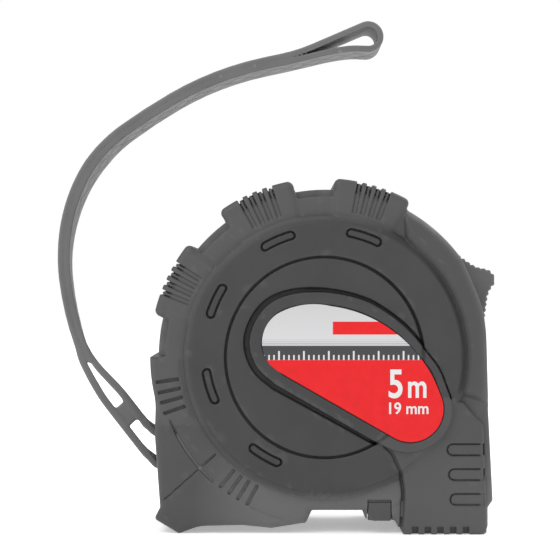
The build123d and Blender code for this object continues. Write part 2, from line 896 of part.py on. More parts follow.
with BuildPart() as wrist_strap:
    with BuildSketch(level(-strap_half, 1)):
        with BuildLine():
            band_end = band_line(band_bends, band_start, band_heading)
            run = Line(band_end @ 1, band_end @ 1 + band_run * (band_end % 1))
        trace(line_width=2 * layer)
        # fold at the far end: up and over, then back under
        with BuildLine():
            along = run % 1
            aside = Vector(-along.Y, along.X)
            rise = JernArc(run @ 1 + aside * (layer / 2), along, *fold_rise)
            ramp = Line(rise @ 1, rise @ 1 + fold_ramp * (rise % 1))
            fold = JernArc(ramp @ 1, ramp % 1, fold_radius, -200.7)
            Spline(
                fold @ 1,
                run @ 1 - aside * (layer / 2) - along * 1.0,
                tangents=(fold % 1, -along),
            )
        trace(line_width=layer)
        # the two layers part towards the case
        with BuildLine():
            FilletPolyline(
                (-74.45, 38.2),
                (-73.3, 34.6),
                (-70.3, 28.9),
                (-67.5, 24.8),
                (-59.2, 14.2),
                (-57.6, 12.9),
                (-53.5, 12.9),
                radius=2.5,
            )
        trace(line_width=layer)
        with BuildLine():
            FilletPolyline(
                (-73.3, 38.6),
                (-71.8, 35.9),
                (-69.8, 33.2),
                (-65.3, 28.6),
                (-60.9, 22.6),
                (-58.9, 20.9),
                (-57.2, 20.4),
                (-53.5, 20.4),
                radius=2.5,
            )
        trace(line_width=layer)
        # bridge between the layers
        with BuildLine():
            Polyline(
                (-67.6, 25.3),
                (-66.4, 25.2),
                (-65.0, 26.4),
                (-64.9, 27.9),
                (-61.3, 23.1),
                (-62.2, 22.4),
                (-63.6, 21.3),
                (-64.3, 20.7),
                close=True,
            )
        make_face()
        # eye round the pin
        with Locations((-54.9, strap_pin[1])):
            RectangleRounded(3.6, 8.9, 1.0)
        with Locations(strap_pin):
            Circle(eye_radius)
            Circle(pin_radius + running_gap, mode=Mode.SUBTRACT)
    extrude(amount=2 * strap_half)
wrist_strap.part.label = "wrist_strap"
export_step(wrist_strap.part, "parts/wrist_strap.step")
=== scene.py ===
"""Looks of the pocket tape measure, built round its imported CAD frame.

Soft moulded pieces are made as distance fields in millimetres and turned into
meshes. x and z are those of the shared frame, and depth is the distance from the
parting plane of the case, towards the front or the rear.
"""

import math
from functools import reduce

import bmesh
import bpy
import numpy as np
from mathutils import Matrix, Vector


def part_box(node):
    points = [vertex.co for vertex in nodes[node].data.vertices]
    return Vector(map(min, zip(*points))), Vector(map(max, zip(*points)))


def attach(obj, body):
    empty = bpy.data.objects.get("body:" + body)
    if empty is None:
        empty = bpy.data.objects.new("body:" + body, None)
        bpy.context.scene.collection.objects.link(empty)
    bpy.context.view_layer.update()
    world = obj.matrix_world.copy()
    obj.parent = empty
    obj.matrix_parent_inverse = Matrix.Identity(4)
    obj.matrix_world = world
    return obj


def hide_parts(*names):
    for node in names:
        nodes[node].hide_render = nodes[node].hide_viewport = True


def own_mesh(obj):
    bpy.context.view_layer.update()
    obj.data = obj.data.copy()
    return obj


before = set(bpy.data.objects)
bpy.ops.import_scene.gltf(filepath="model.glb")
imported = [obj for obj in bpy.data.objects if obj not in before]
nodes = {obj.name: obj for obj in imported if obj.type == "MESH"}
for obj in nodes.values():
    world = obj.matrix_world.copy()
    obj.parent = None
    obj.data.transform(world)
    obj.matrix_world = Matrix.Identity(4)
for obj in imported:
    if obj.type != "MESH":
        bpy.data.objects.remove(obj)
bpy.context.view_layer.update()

MM = 0.001
GRID = 0.24  # spacing of the covers' nets, in millimetres
MAX_FACES = 190_000  # triangles that a piece may keep
WELD_GAP = 1e-6  # points this near are one, in metres


# --- camera, light and floor ----------------------------------------------------
CAMERA_AWAY = 0.400  # from the middle plane of the case
SEEN_WIDTH = 0.1176  # of that plane, across the picture
LEFT_TO_CENTRE = 0.0269  # from the cover's left edge to the picture's centre
TOP_TO_CENTRE = 0.0205
FLOOR_HALF = 1.5
FLOOR_GREY = 0.92
FLOOR_GLOW = 0.35
LAMPS = (  # place, width and watts
    ("key_light", (-0.35, -0.35, 0.55), 0.35, 1.6),
    ("rear_light", (0.30, 0.40, 0.50), 0.35, 1.2),
)


def build_camera(centre):
    """Level camera in front of a point."""
    cam = bpy.data.objects.new("camera", bpy.data.cameras.new("camera"))
    cam.location = centre + Vector((0, -CAMERA_AWAY, 0))
    cam.rotation_euler = (math.radians(90), 0, 0)
    cam.data.lens = cam.data.sensor_width * CAMERA_AWAY / SEEN_WIDTH
    cam.data.clip_start = 0.01
    bpy.context.scene.collection.objects.link(cam)
    bpy.context.scene.camera = cam


def build_lights(centre):
    """White surroundings and two wide lamps aimed at a point."""
    world = bpy.data.worlds.new("studio")
    world.use_nodes = True
    world.node_tree.nodes["Background"].inputs["Color"].default_value = (1, 1, 1, 1)
    world.node_tree.nodes["Background"].inputs["Strength"].default_value = 1.0
    bpy.context.scene.world = world
    bpy.context.scene.view_settings.view_transform = "Standard"
    for name, place, width, watts in LAMPS:
        light = bpy.data.lights.new(name, "AREA")
        light.size = width
        light.energy = watts
        lamp = bpy.data.objects.new(name, light)
        lamp.location = place
        lamp.rotation_euler = (centre - Vector(place)).to_track_quat("-Z", "Y").to_euler()
        bpy.context.scene.collection.objects.link(lamp)


def build_floor():
    """Plain pale floor, which glows a little so that it is near white."""
    half = FLOOR_HALF
    corners = [(-half, -half, 0), (half, -half, 0), (half, half, 0), (-half, half, 0)]
    mesh = bpy.data.meshes.new("floor")
    mesh.from_pydata(corners, [], [(0, 1, 2, 3)])
    floor = bpy.data.objects.new("floor", mesh)
    bpy.context.scene.collection.objects.link(floor)
    paint = bpy.data.materials.new("floor_paint")
    paint.use_nodes = True
    shader = paint.node_tree.nodes["Principled BSDF"]
    shader.inputs["Base Color"].default_value = (FLOOR_GREY, FLOOR_GREY, FLOOR_GREY, 1)
    shader.inputs["Emission Color"].default_value = (1, 1, 1, 1)
    shader.inputs["Emission Strength"].default_value = FLOOR_GLOW
    shader.inputs["Roughness"].default_value = 0.9
    mesh.materials.append(paint)


cover_low, cover_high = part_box("front_cover")
view_centre = Vector((cover_low[0] + LEFT_TO_CENTRE, 0, cover_high[2] - TOP_TO_CENTRE))
build_camera(view_centre)
build_lights(view_centre)
build_floor()


# --- distance fields ------------------------------------------------------------
def fillet_loop(corners, steps=6):
    """Closed loop of points from (x, z, radius) corners, each rounded by an arc."""
    loop = []
    count = len(corners)
    for i, (x, z, radius) in enumerate(corners):
        here = np.array([x, z])
        if radius == 0:
            loop.append(here)
            continue
        before = np.array(corners[i - 1][:2]) - here
        after = np.array(corners[(i + 1) % count][:2]) - here
        before /= np.hypot(*before)
        after /= np.hypot(*after)
        half = math.acos(np.clip(before @ after, -1, 1)) / 2
        middle = here + (before + after) / np.hypot(*(before + after)) * radius / math.sin(half)
        first = here + before * radius / math.tan(half)
        last = here + after * radius / math.tan(half)
        a0 = math.atan2(*(first - middle)[::-1])
        a1 = math.atan2(*(last - middle)[::-1])
        sweep = (a1 - a0 + math.pi) % (2 * math.pi) - math.pi
        for t in np.linspace(0, 1, steps):
            a = a0 + t * sweep
            loop.append(middle + radius * np.array([math.cos(a), math.sin(a)]))
    return np.array(loop)


def arc_points(middle, radius, start, end, steps):
    """Points along an arc, angles in degrees."""
    angles = np.radians(np.linspace(start, end, steps))
    return np.c_[middle[0] + radius * np.cos(angles), middle[1] + radius * np.sin(angles)]


def through(points, steps=14):
    """Smooth stretch through points, as a Catmull-Rom curve between them."""
    p = np.array(points, float)
    full = np.concatenate([2 * p[:1] - p[1:2], p, 2 * p[-1:] - p[-2:-1]])
    curve = []
    for a, b, c, d in zip(full[:-3], full[1:-2], full[2:-1], full[3:]):
        for t in np.linspace(0, 1, steps, endpoint=False):
            curve.append(
                0.5 * (2 * b + (c - a) * t + (2 * a - 5 * b + 4 * c - d) * t**2
                       + (3 * b - a - 3 * c + d) * t**3)
            )
    return np.array([*curve, p[-1]])


def loop_field(x, z, loop):
    """Signed distance to a closed loop in the x-z plane, negative inside."""
    nearest = np.full(x.shape, 1e9)
    inside = np.zeros(x.shape, bool)
    for (ax, az), (bx, bz) in zip(loop, np.roll(loop, -1, 0)):
        ex, ez = bx - ax, bz - az
        wx, wz = x - ax, z - az
        t = np.clip((wx * ex + wz * ez) / (ex * ex + ez * ez + 1e-12), 0, 1)
        nearest = np.minimum(nearest, (wx - t * ex) ** 2 + (wz - t * ez) ** 2)
        if ez != 0:
            inside ^= ((az > z) != (bz > z)) & (wx < ex * wz / ez)
    return np.where(inside, -1, 1) * np.sqrt(nearest)


def path_field(x, z, path):
    """Distance to an open path, how far along it, and the signed side of it."""
    nearest = np.full(x.shape, 1e9)
    along = np.zeros(x.shape)
    aside = np.zeros(x.shape)
    done = 0.0
    for (ax, az), (bx, bz) in zip(path[:-1], path[1:]):
        ex, ez = bx - ax, bz - az
        length = math.hypot(ex, ez)
        wx, wz = x - ax, z - az
        t = np.clip((wx * ex + wz * ez) / length**2, 0, 1)
        gap = (wx - t * ex) ** 2 + (wz - t * ez) ** 2
        closer = gap < nearest
        nearest = np.where(closer, gap, nearest)
        along = np.where(closer, done + t * length, along)
        aside = np.where(closer, np.sign(ex * wz - ez * wx), aside)
        done += length
    return np.sqrt(nearest), along, aside


def smooth_union(a, b, blend):
    """Union of two fields with a soft valley."""
    h = np.maximum(blend - np.abs(a - b), 0) / blend
    return np.minimum(a, b) - h * h * blend / 4


def smooth_cut(a, b, blend):
    """Field a less field b with a soft edge."""
    return -smooth_union(-a, b, blend)


def slab(outline, depth, top, rounding):
    """Outline carried up to top, with its outer edge rounded."""
    qx = outline + rounding
    qy = depth - top + rounding
    outside = np.hypot(np.maximum(qx, 0), np.maximum(qy, 0))
    return np.minimum(np.maximum(qx, qy), 0) + outside - rounding


def common(*fields):
    """What several fields share."""
    return reduce(np.maximum, fields)


def box_field(x, depth, z, low, high):
    """Distance to a box, sharp outside its corners."""
    return common(
        low[0] - x, x - high[0], low[1] - depth, depth - high[1], low[2] - z, z - high[2]
    )


# --- nets -----------------------------------------------------------------------
def surface_net(values, low, step):
    """Points and quads along the zero level of a grid of distances."""
    size = np.array(values.shape) - 1
    corner = [(i, j, k) for i in (0, 1) for j in (0, 1) for k in (0, 1)]
    window = [
        values[i : i + size[0], j : j + size[1], k : k + size[2]] for i, j, k in corner
    ]
    active = (np.minimum.reduce(window) < 0) & (np.maximum.reduce(window) >= 0)
    number = np.full(active.shape, -1, np.int64)
    cells = np.argwhere(active)
    number[active] = np.arange(len(cells))
    total = np.zeros((len(cells), 3))
    count = np.zeros(len(cells))
    for a in corner:
        for axis in range(3):
            if a[axis]:
                continue
            b = list(a)
            b[axis] = 1
            va = values[tuple((cells + a).T)].astype(float)
            vb = values[tuple((cells + b).T)].astype(float)
            cross = (va < 0) != (vb < 0)
            t = np.where(cross, va / np.where(cross, va - vb, 1), 0)
            spot = np.tile(np.array(a, float), (len(cells), 1))
            spot[:, axis] += t
            total += spot * cross[:, None]
            count += cross
    points = np.array(low) + step * (cells + total / count[:, None])
    quads = []
    for axis in range(3):
        b, c = (axis + 1) % 3, (axis + 2) % 3
        first = [slice(None)] * 3
        second = [slice(None)] * 3
        first[axis], second[axis] = slice(0, -1), slice(1, None)
        for other in (b, c):
            first[other] = second[other] = slice(1, -1)
        v0, v1 = values[tuple(first)], values[tuple(second)]
        for leaving in (True, False):
            hit = (v0 < 0) & (v1 >= 0) if leaving else (v0 >= 0) & (v1 < 0)
            spots = np.argwhere(hit)
            ring = []
            for db, dc in ((0, 0), (1, 0), (1, 1), (0, 1)):
                cell = spots.copy()
                cell[:, b] += db
                cell[:, c] += dc
                ring.append(number[tuple(cell.T)])
            quads.append(np.stack(ring if leaving else ring[::-1], 1))
    return points, np.concatenate(quads)


def settle(points, field, step, rounds=3):
    """Moves net points on to the field's zero level."""
    reach = 0.02
    for _ in range(rounds):
        here = field(points)
        ahead = [field(points + reach * e) - field(points - reach * e) for e in np.eye(3)]
        slope = np.stack(ahead, 1) / (2 * reach)
        move = here[:, None] * slope / np.maximum((slope**2).sum(1), 0.2)[:, None]
        far = np.hypot(np.hypot(move[:, 0], move[:, 1]), move[:, 2])
        points = points - move * np.minimum(1, 0.6 * step / np.maximum(far, 1e-9))[:, None]
    return points


def net_object(name, plan, solid, low, high, step, side=0):
    """Mesh of a field. plan gives its flat parts at x, z, and solid the field at a depth.

    side 1 puts depth towards -y and -1 towards +y; 0 takes depth as y itself.
    """
    axes = [np.arange(a, b + step, step) for a, b in zip(low, high)]
    x, depth, z = np.meshgrid(*axes, indexing="ij", sparse=True)
    flat_x, flat_z = np.broadcast_arrays(x, z)
    grid = solid(plan(flat_x, flat_z), flat_x, depth, flat_z).astype(np.float32)
    grid = np.ascontiguousarray(np.broadcast_to(grid, [len(a) for a in axes]))
    points, quads = surface_net(grid, [a[0] for a in axes], step)

    def field(p):
        return solid(plan(p[:, 0], p[:, 2]), p[:, 0], p[:, 1], p[:, 2])

    points = settle(points, field, step)
    if side == 1:
        points[:, 1] *= -1
        quads = quads[:, ::-1]
    return mesh_object(name, points * MM, quads)


def mesh_object(name, points, faces, smooth=True):
    """Object from numpy points and equal-sided faces, in metres."""
    sides = faces.shape[1]
    mesh = bpy.data.meshes.new(name)
    mesh.vertices.add(len(points))
    mesh.vertices.foreach_set("co", points.astype(np.float32).ravel())
    mesh.loops.add(faces.size)
    mesh.loops.foreach_set("vertex_index", faces.astype(np.int32).ravel())
    mesh.polygons.add(len(faces))
    mesh.polygons.foreach_set("loop_start", np.arange(0, faces.size, sides, dtype=np.int32))
    mesh.polygons.foreach_set("use_smooth", np.full(len(faces), smooth))
    mesh.update(calc_edges=True)
    mesh.validate()
    piece = bpy.data.objects.new(name, mesh)
    bpy.context.scene.collection.objects.link(piece)
    return piece


def point_array(piece):
    """A mesh's points as a numpy array, in metres."""
    points = np.empty(len(piece.data.vertices) * 3, np.float32)
    piece.data.vertices.foreach_get("co", points)
    return points.reshape(-1, 3).astype(float)


def weld(mesh):
    """Joins points that fell on each other, with the empty faces between them."""
    work = bmesh.new()
    work.from_mesh(mesh)
    bmesh.ops.remove_doubles(work, verts=work.verts, dist=WELD_GAP)
    work.to_mesh(mesh)
    work.free()


def thin_out(piece):
    """Merges flat faces away until the piece is light enough."""
    faces = 2 * len(piece.data.polygons)
    if faces <= MAX_FACES:
        return piece
    fewer = piece.modifiers.new("fewer_faces", "DECIMATE")
    fewer.ratio = MAX_FACES / faces
    ready = piece.evaluated_get(bpy.context.evaluated_depsgraph_get())
    mesh = bpy.data.meshes.new_from_object(ready)
    piece.modifiers.clear()
    piece.data = mesh
    weld(mesh)
    return piece


def finish(piece, material, body, node=None):
    """Gives a piece its material and its body, and hides the CAD node that it stands for."""
    piece.data.materials.clear()
    piece.data.materials.append(material)
    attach(piece, body)
    if node:
        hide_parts(node)


# --- materials ------------------------------------------------------------------
def new_material(name):
    """Material with its node tree, its shader and a coordinate node."""
    material = bpy.data.materials.new(name)
    material.use_nodes = True
    tree = material.node_tree
    place = tree.nodes.new("ShaderNodeTexCoord")
    return material, tree, tree.nodes["Principled BSDF"], place.outputs["Object"]


def noise(tree, place, grain_mm, detail=3.0):
    """Noise whose grain has this size."""
    node = tree.nodes.new("ShaderNodeTexNoise")
    node.inputs["Scale"].default_value = 1 / (grain_mm * MM)
    node.inputs["Detail"].default_value = detail
    tree.links.new(place, node.inputs["Vector"])
    return node.outputs["Fac"]


def remap(tree, value, low, high, out_low, out_high):
    """Value carried from one range to another, and held there."""
    node = tree.nodes.new("ShaderNodeMapRange")
    for key, number in (
        ("From Min", low), ("From Max", high), ("To Min", out_low), ("To Max", out_high)
    ):
        node.inputs[key].default_value = number
    tree.links.new(value, node.inputs["Value"])
    return node.outputs["Result"]


def mix(tree, factor, a, b):
    """Colour a to colour b by a factor; each is a colour or a socket."""
    node = tree.nodes.new("ShaderNodeMix")
    node.data_type = "RGBA"
    for socket, value in ((node.inputs[6], a), (node.inputs[7], b)):
        if isinstance(value, tuple):
            socket.default_value = (*value, 1)
        else:
            tree.links.new(value, socket)
    tree.links.new(factor, node.inputs[0])
    return node.outputs[2]


def bump(tree, shader, height, depth_mm):
    """Surface relief from a height between 0 and 1."""
    node = tree.nodes.new("ShaderNodeBump")
    node.inputs["Strength"].default_value = 1.0
    node.inputs["Distance"].default_value = depth_mm * MM
    tree.links.new(height, node.inputs["Height"])
    tree.links.new(node.outputs["Normal"], shader.inputs["Normal"])


def moulded(name, colour, roughness, grain=0.16, relief=0.012, worn=0.06):
    """Matte moulded rubber or plastic: fine grain, soft mottling and paler worn edges."""
    material, tree, shader, place = new_material(name)
    mottle = remap(tree, noise(tree, place, 9.0), 0.35, 0.65, 0, 1)
    dark = tuple(c * 0.93 for c in colour)
    light = tuple(c * 1.07 for c in colour)
    body = mix(tree, mottle, dark, light)
    edge = tree.nodes.new("ShaderNodeNewGeometry").outputs["Pointiness"]
    worn_edge = remap(tree, edge, 0.52, 0.60, 0, 1)
    pale = tuple(c + worn for c in colour)
    tree.links.new(mix(tree, worn_edge, body, pale), shader.inputs["Base Color"])
    rough = remap(tree, noise(tree, place, 3.0), 0.3, 0.7, roughness - 0.05, roughness + 0.05)
    tree.links.new(rough, shader.inputs["Roughness"])
    shader.inputs["Specular IOR Level"].default_value = 0.4
    bump(tree, shader, noise(tree, place, grain, 2.0), relief)
    return material


def metal(name, colour, roughness):
    """Brushed or plated metal with fine scratches along one way."""
    material, tree, shader, place = new_material(name)
    mapping = tree.nodes.new("ShaderNodeMapping")
    mapping.inputs["Scale"].default_value = (1, 1, 30)
    tree.links.new(place, mapping.inputs["Vector"])
    lines = noise(tree, mapping.outputs["Vector"], 1.2, 4.0)
    tone = remap(tree, noise(tree, place, 6.0), 0.3, 0.7, 0, 1)
    dark = tuple(c * 0.88 for c in colour)
    tree.links.new(mix(tree, tone, dark, colour), shader.inputs["Base Color"])
    shader.inputs["Metallic"].default_value = 1.0
    rough = remap(tree, lines, 0.3, 0.7, roughness - 0.07, roughness + 0.09)
    tree.links.new(rough, shader.inputs["Roughness"])
    bump(tree, shader, lines, 0.004)
    return material


def coat(node, material):
    """Gives a CAD node its finish."""
    data = nodes[node].data
    data.materials.clear()
    data.materials.append(material)


def attribute(tree, name):
    """A mesh attribute's value."""
    node = tree.nodes.new("ShaderNodeAttribute")
    node.attribute_name = name
    return node.outputs["Fac"]


def season(material):
    """Painted light and painted shade over a moulded finish, from a mesh's attributes."""
    tree = material.node_tree
    shader = tree.nodes["Principled BSDF"]
    before = shader.inputs["Base Color"].links[0].from_socket
    # painted light: paler rubber where light falls on the bevels, the outer band and the lower
    # faces
    pale = mix(tree, attribute(tree, "painted_light"), before, PAINTED_LIGHT_GREY)
    # painted shade: darker rubber in the grooves, creases and recesses, where shade falls
    amount = remap(tree, attribute(tree, "shade"), 0.15, 0.85, 0, 0.92)
    dark = tuple(c * 0.12 for c in RUBBER)
    tree.links.new(mix(tree, amount, pale, dark), shader.inputs["Base Color"])


RUBBER = (0.031, 0.031, 0.032)
# grey of the painted light on the covers' rubber
PAINTED_LIGHT_GREY = (0.105, 0.105, 0.107)
rubber = moulded("cover_rubber", RUBBER, 0.56, worn=0.012)
season(rubber)
shell_plastic = moulded("shell_plastic", (0.100, 0.100, 0.101), 0.48, grain=0.3)
lock_rubber = moulded("lock_rubber", (0.090, 0.090, 0.091), 0.55, worn=0.02)
strap_rubber = moulded("strap_rubber", (0.10, 0.10, 0.102), 0.52, relief=0.008)
black_rubber = moulded("black_rubber", (0.02, 0.02, 0.02), 0.6)
button_plastic = moulded("button_plastic", (0.050, 0.050, 0.051), 0.5, grain=0.25)
nylon = moulded("nylon", (0.62, 0.61, 0.57), 0.45, grain=0.4, worn=0.1)
drum_plastic = moulded("drum_plastic", (0.14, 0.14, 0.15), 0.45, grain=0.4)
disc_film = moulded("disc_film", (0.72, 0.72, 0.70), 0.3, grain=0.8)
nickel = metal("nickel", (0.70, 0.69, 0.67), 0.24)
zinc = metal("zinc", (0.62, 0.63, 0.65), 0.3)
black_steel = metal("black_steel", (0.10, 0.10, 0.11), 0.35)
blued_steel = metal("blued_steel", (0.30, 0.30, 0.33), 0.3)
ground_steel = metal("ground_steel", (0.62, 0.62, 0.63), 0.2)

finishes = {
    "front_shell": shell_plastic,
    "rear_shell": shell_plastic,
    "mouth_bumper": black_rubber,
    "lock_pad": black_rubber,
    "spindle": nylon,
    "spool_spacers": nylon,
    "blade_guide": nylon,
    "spool_drum": drum_plastic,
    "spool_lid": drum_plastic,
    "side_discs": disc_film,
    "belt_clip": nickel,
    "clip_screw": nickel,
    "case_screws": black_steel,
    "end_hook": zinc,
    "hook_rivets": zinc,
    "strap_pin": ground_steel,
    "mainspring": blued_steel,
}
for node, material in finishes.items():
    coat(node, material)

# --- rubber covers --------------------------------------------------------------
REEL = (-23.1, 35.7)
BODY_R = 33.9
BAND_R = 33.9  # edge of the round band over the square corners
BAND_IN = 29.3  # where the grooves over the band start
WINDOW_R = 32.4
LUG_R = ((61, 87, 126, 140, 166), (35.95, 36.15, 36.45, 36.0, 35.7))  # by angle
DIAL_R = 28.7
DIAL_BEVEL = 1.5
RING_R = 20.2
RING_X = -23.4
RING_SQUEEZE = 1.015  # the ring groove is a little narrower than high
PANEL_TOP = 17.0
DIAL_TOP = 17.4
RIM_TOP = 18.0
PLATE_TOP = 17.72
BAND_TOP = 15.6
CORNER_TOP = 15.3
LUG_TOP = 16.1
SHOULDER_TOP = 17.0
WINDOWS = ((87.2, 100.6), (126.4, 140.2), (166.2, 180.0))
LUGS = ((61.3, 87.2, 73.95, 3.23), (100.6, 126.4, 113.4, 3.4), (140.2, 166.2, 153.3, 3.35))
HEEL_GROOVES = (188.5, 192.1, 195.6, 199.3)
BASE_GROOVES = (231.0, 234.7, 238.3, 242.0)
SLOT_CENTRE = (-23.1, 36.9)
SLOT_R = 24.35
SLOT_ANGLES = (71.4, 113.4, 155.3, 196.9, 239.8)
SLOT_REACH = 2.8  # from a slot's middle to the centre of its round end
SLOT_HALF = 0.8
LUG_CORNER = 1.3
LUG_INNER = 27.5
RIB_INNER = 29.7  # where the grooves between a lug's ribs start
RIB_GROOVE = 0.46
RIB_LINE = 0.42  # from a groove's middle to the sharp lines along its sides
CHANNEL = (6.5, 34.2)  # half width of the channel round the case, and its lowest z
CREASES = ((0.22, 201, 228, 0.6), (0.1, 243, 256, 0.22))  # half width, angles, depth
PANEL_SEAM = 221.5  # angle of the seam between the band and the heel's corner
RIDGE = (207.0, 30.0, 36.5)  # angle and radii of a low ridge beside the heel
HEEL = (180.0, 206.0, 29, 35.5)  # angles and radii of the heel's block
SHOULDER = (-17, 62.0)
SHOULDER_IN = 26.9
GRIPS = ((1.3, 17.1), (1.6, 12.1), (1.9, 7.1))  # left end and height
GRIP_R = 1.2
NOTCHES = (-5.1, 2.55, 5)  # first middle, pitch and number of the foot's notches
NOTCH_HALF = 0.62
NOTCH_HEIGHT = 1.6
LABEL_SEAT = 17.28
SHELL_FACE = 14.76  # where the covers' hollow for the hard shell ends
HOLLOWS = (  # boxes for the strap, the mouth, and the button's cheek, flange and plate
    ((-70, -9, 10.2), (-49.2, 6.6, 23.2)),
    ((6.4, -9, -5), (20, 10.6, 12.0)),
    ((-14.7, 13.5, -5), (-9.7, 15.14, 7.6)),
    ((-14.6, 15.0, -5), (-9.8, 30, 6.85)),
    ((-14.7, -9, -5), (-9.7, 14.7, 5.3)),
)
GRIP_LINES_END = 8.0
RIM_GROOVE_LOW = 27.2
SCREW_WELL = 2.05
CLIP_WELL = 2.0
SAME_SCREW = 6  # points this near in x and z are on one screw
WELL_FLOOR = 13  # depth from which the screws' wells are open
COVER_BOX = ((-59.9, -0.6, -0.9), (12.0, 18.6, 72.6))

cover_foot = [
    (-57.3, 33.0, 0), (-57.7, 20.0, 20.0), (-56.6, 5.2, 0.4), (-57.8, 2.9, 0.7),
    (-52.8, -0.1, 0.8), (-48.6, 1.4, 8.0), (-40.0, 1.6, 8.0), (-34.0, 1.0, 2.0),
    (-27.1, 2.1, 0.7), (-25.9, 4.7, 0.5), (-15.4, 4.7, 0), (-15.0, 2.6, 1.2),
    (-9.1, 2.6, 0.6), (-7.7, 0.0, 1.2), (9.8, 0.0, 1.6), (9.8, 5.2, 0.3),
    (10.8, 6.6, 0.6), (10.7, 9.0, 2.0), (9.8, 27.0, 10.0), (9.5, 38.0, 0),
]
cover_loop = np.concatenate(
    [
        arc_points(REEL, BODY_R, 36, 180, 90),
        fillet_loop(cover_foot),
        through([(9.4, 40.5), (8.6, 45.5), (6.2, 51.7), (4.33, 55.63)], 8),
    ]
)
shell_loop = np.concatenate(
    [
        arc_points(REEL, WINDOW_R, 16.9, 180, 90),
        [(-55.3, 3.6), (-28.5, 3.6), (-26.9, 5.3), (-9.6, 5.3), (-6.4, 1.8), (7.9, 1.8)],
    ]
)
panel_loop = fillet_loop(
    [
        (-12.5, 19.5, 0), (-9.4, 16.4, 3.0), (-7.9, 12.9, 4.0), (-7.2, 8.6, 8.0),
        (-7.6, 0.5, 0.5), (-7.6, -3.0, 0), (9.3, -3.0, 0), (9.3, 5.5, 0.5), (8.6, 22.0, 1.0),
        (4.7, 26.7, 1.0), (1.6, 27.3, 0), (-8.0, 27.3, 0),
    ]
)
label_edge = [
    (0.06, 28.2), (-1.6, 32.4), (-3.8, 35.4), (-8.7, 40.6), (-15.5, 44.6), (-22.5, 46.3),
    (-29.1, 46.1), (-33.6, 44.0), (-36.0, 39.4), (-35.0, 35.2), (-31.8, 32.2),
]
label_loop = np.concatenate(
    [arc_points((-6.1, 25.3), 6.8, 240, 385, 24), through(label_edge, 6)]
)


def flat_map(loops, low, high, step):
    """Looks up the distances to closed loops, worked out once on a fine grid."""
    xs = np.arange(low[0], high[0] + step, step)
    zs = np.arange(low[1], high[1] + step, step)
    grid_x, grid_z = np.meshgrid(xs, zs, indexing="ij")
    tables = {key: loop_field(grid_x, grid_z, loop) for key, loop in loops.items()}

    def look_up(x, z):
        u = np.clip((x - low[0]) / step, 0, len(xs) - 1.001)
        v = np.clip((z - low[1]) / step, 0, len(zs) - 1.001)
        i, j = u.astype(int), v.astype(int)
        fu, fv = u - i, v - j
        found = {}
        for key, table in tables.items():
            found[key] = (
                table[i, j] * (1 - fu) * (1 - fv)
                + table[i + 1, j] * fu * (1 - fv)
                + table[i, j + 1] * (1 - fu) * fv
                + table[i + 1, j + 1] * fu * fv
            )
        return found

    return look_up


cover_loops = {
    "outline": cover_loop, "shell": shell_loop, "panel": panel_loop, "label": label_loop,
}
cover_map = flat_map(cover_loops, low=(-61.5, -2.5), high=(14.5, 74.0), step=0.2)


def cover_plan(x, z):
    """Flat fields of a cover at x, z."""
    plan = cover_map(x, z)
    plan["x"] = x
    plan["z"] = z
    plan["radius"] = np.hypot(x - REEL[0], z - REEL[1])
    plan["ring"] = np.hypot((x - RING_X) * RING_SQUEEZE, z - REEL[1]) - RING_R
    plan["angle"] = np.degrees(np.arctan2(z - REEL[1], x - REEL[0])) % 360
    return plan


def away(plan, middle):
    """Arc distance from a ray about the reel, unsigned."""
    turn = (plan["angle"] - middle + 180) % 360 - 180
    return np.abs(np.radians(turn)) * plan["radius"]


def sector(plan, start, end):
    """Arc distance outside a sector about the reel, negative inside."""
    half = np.radians((end - start) / 2) * plan["radius"]
    return away(plan, (start + end) / 2) - half


def carve(body, area, deep, soft=0.2):
    """Sinks an area of a body's surface by a depth."""
    return smooth_cut(body, np.maximum(area, -(body + deep)), soft)


def lug_angles(lug):
    """Middles of the four grooves between a lug's blocks and its three ribs."""
    start, end, middle, pitch = lug
    return [middle + k * pitch for k in (-1.5, -0.5, 0.5, 1.5)]


def lug_field(plan, depth, lug):
    """One lug: a block at each end and three ribs between."""
    side = sector(plan, lug[0], lug[1]) + LUG_CORNER
    rim = plan["radius"] - np.interp(plan["angle"], *LUG_R) + LUG_CORNER
    outline = np.hypot(np.maximum(side, 0), np.maximum(rim, 0)) - LUG_CORNER
    outline = outline + np.minimum(np.maximum(side, rim), 0)
    outline = np.maximum(outline, LUG_INNER - plan["radius"])
    body = slab(outline, depth, LUG_TOP, rounding=1.4)
    inner = RIB_INNER - plan["radius"]
    for angle in lug_angles(lug):
        across = away(plan, angle)
        body = carve(body, np.maximum(across - RIB_GROOVE, inner), deep=0.4)
        line = np.maximum(np.abs(across - RIB_LINE) - 0.12, inner)
        body = carve(body, line, deep=0.48, soft=0.15)
    return body


def radial_grooves(plan, body, angles, inner, outer, half, deep):
    """Radial grooves carved into a body."""
    for angle in angles:
        ends = np.maximum(inner - plan["radius"], plan["radius"] - outer)
        body = carve(body, np.maximum(away(plan, angle) - half, ends), deep)
    return body


def slot_field(plan, angle):
    """Distance to the edge of one curved vent slot on the dial."""
    x, z = plan["x"] - SLOT_CENTRE[0], plan["z"] - SLOT_CENTRE[1]
    radius = np.hypot(x, z)
    turn = (np.degrees(np.arctan2(z, x)) - angle + 180) % 360 - 180
    reach = np.abs(np.radians(turn)) * radius - SLOT_REACH
    return np.hypot(np.maximum(reach, 0), radius - SLOT_R) - SLOT_HALF


def rim_width(plan):
    """Width of the label's rim, which narrows towards the front."""
    return np.interp(plan["x"], (-14.0, -2.0), (2.45, 1.6))


def moat_field(plan):
    """Hollow round the label's rim, inside the ring groove."""
    reach = rim_width(plan) + np.interp(plan["x"], (-36.0, -20.0, -6.0), (1.1, 0.7, 0.5))
    return np.maximum(plan["label"] - reach, plan["ring"] - 0.2)


def grip_field(plan, left, height):
    """Distance to the edge of one finger grip, which is open to the front."""
    ahead = np.maximum(left + GRIP_R - plan["x"], 0)
    return np.hypot(ahead, plan["z"] - height) - GRIP_R


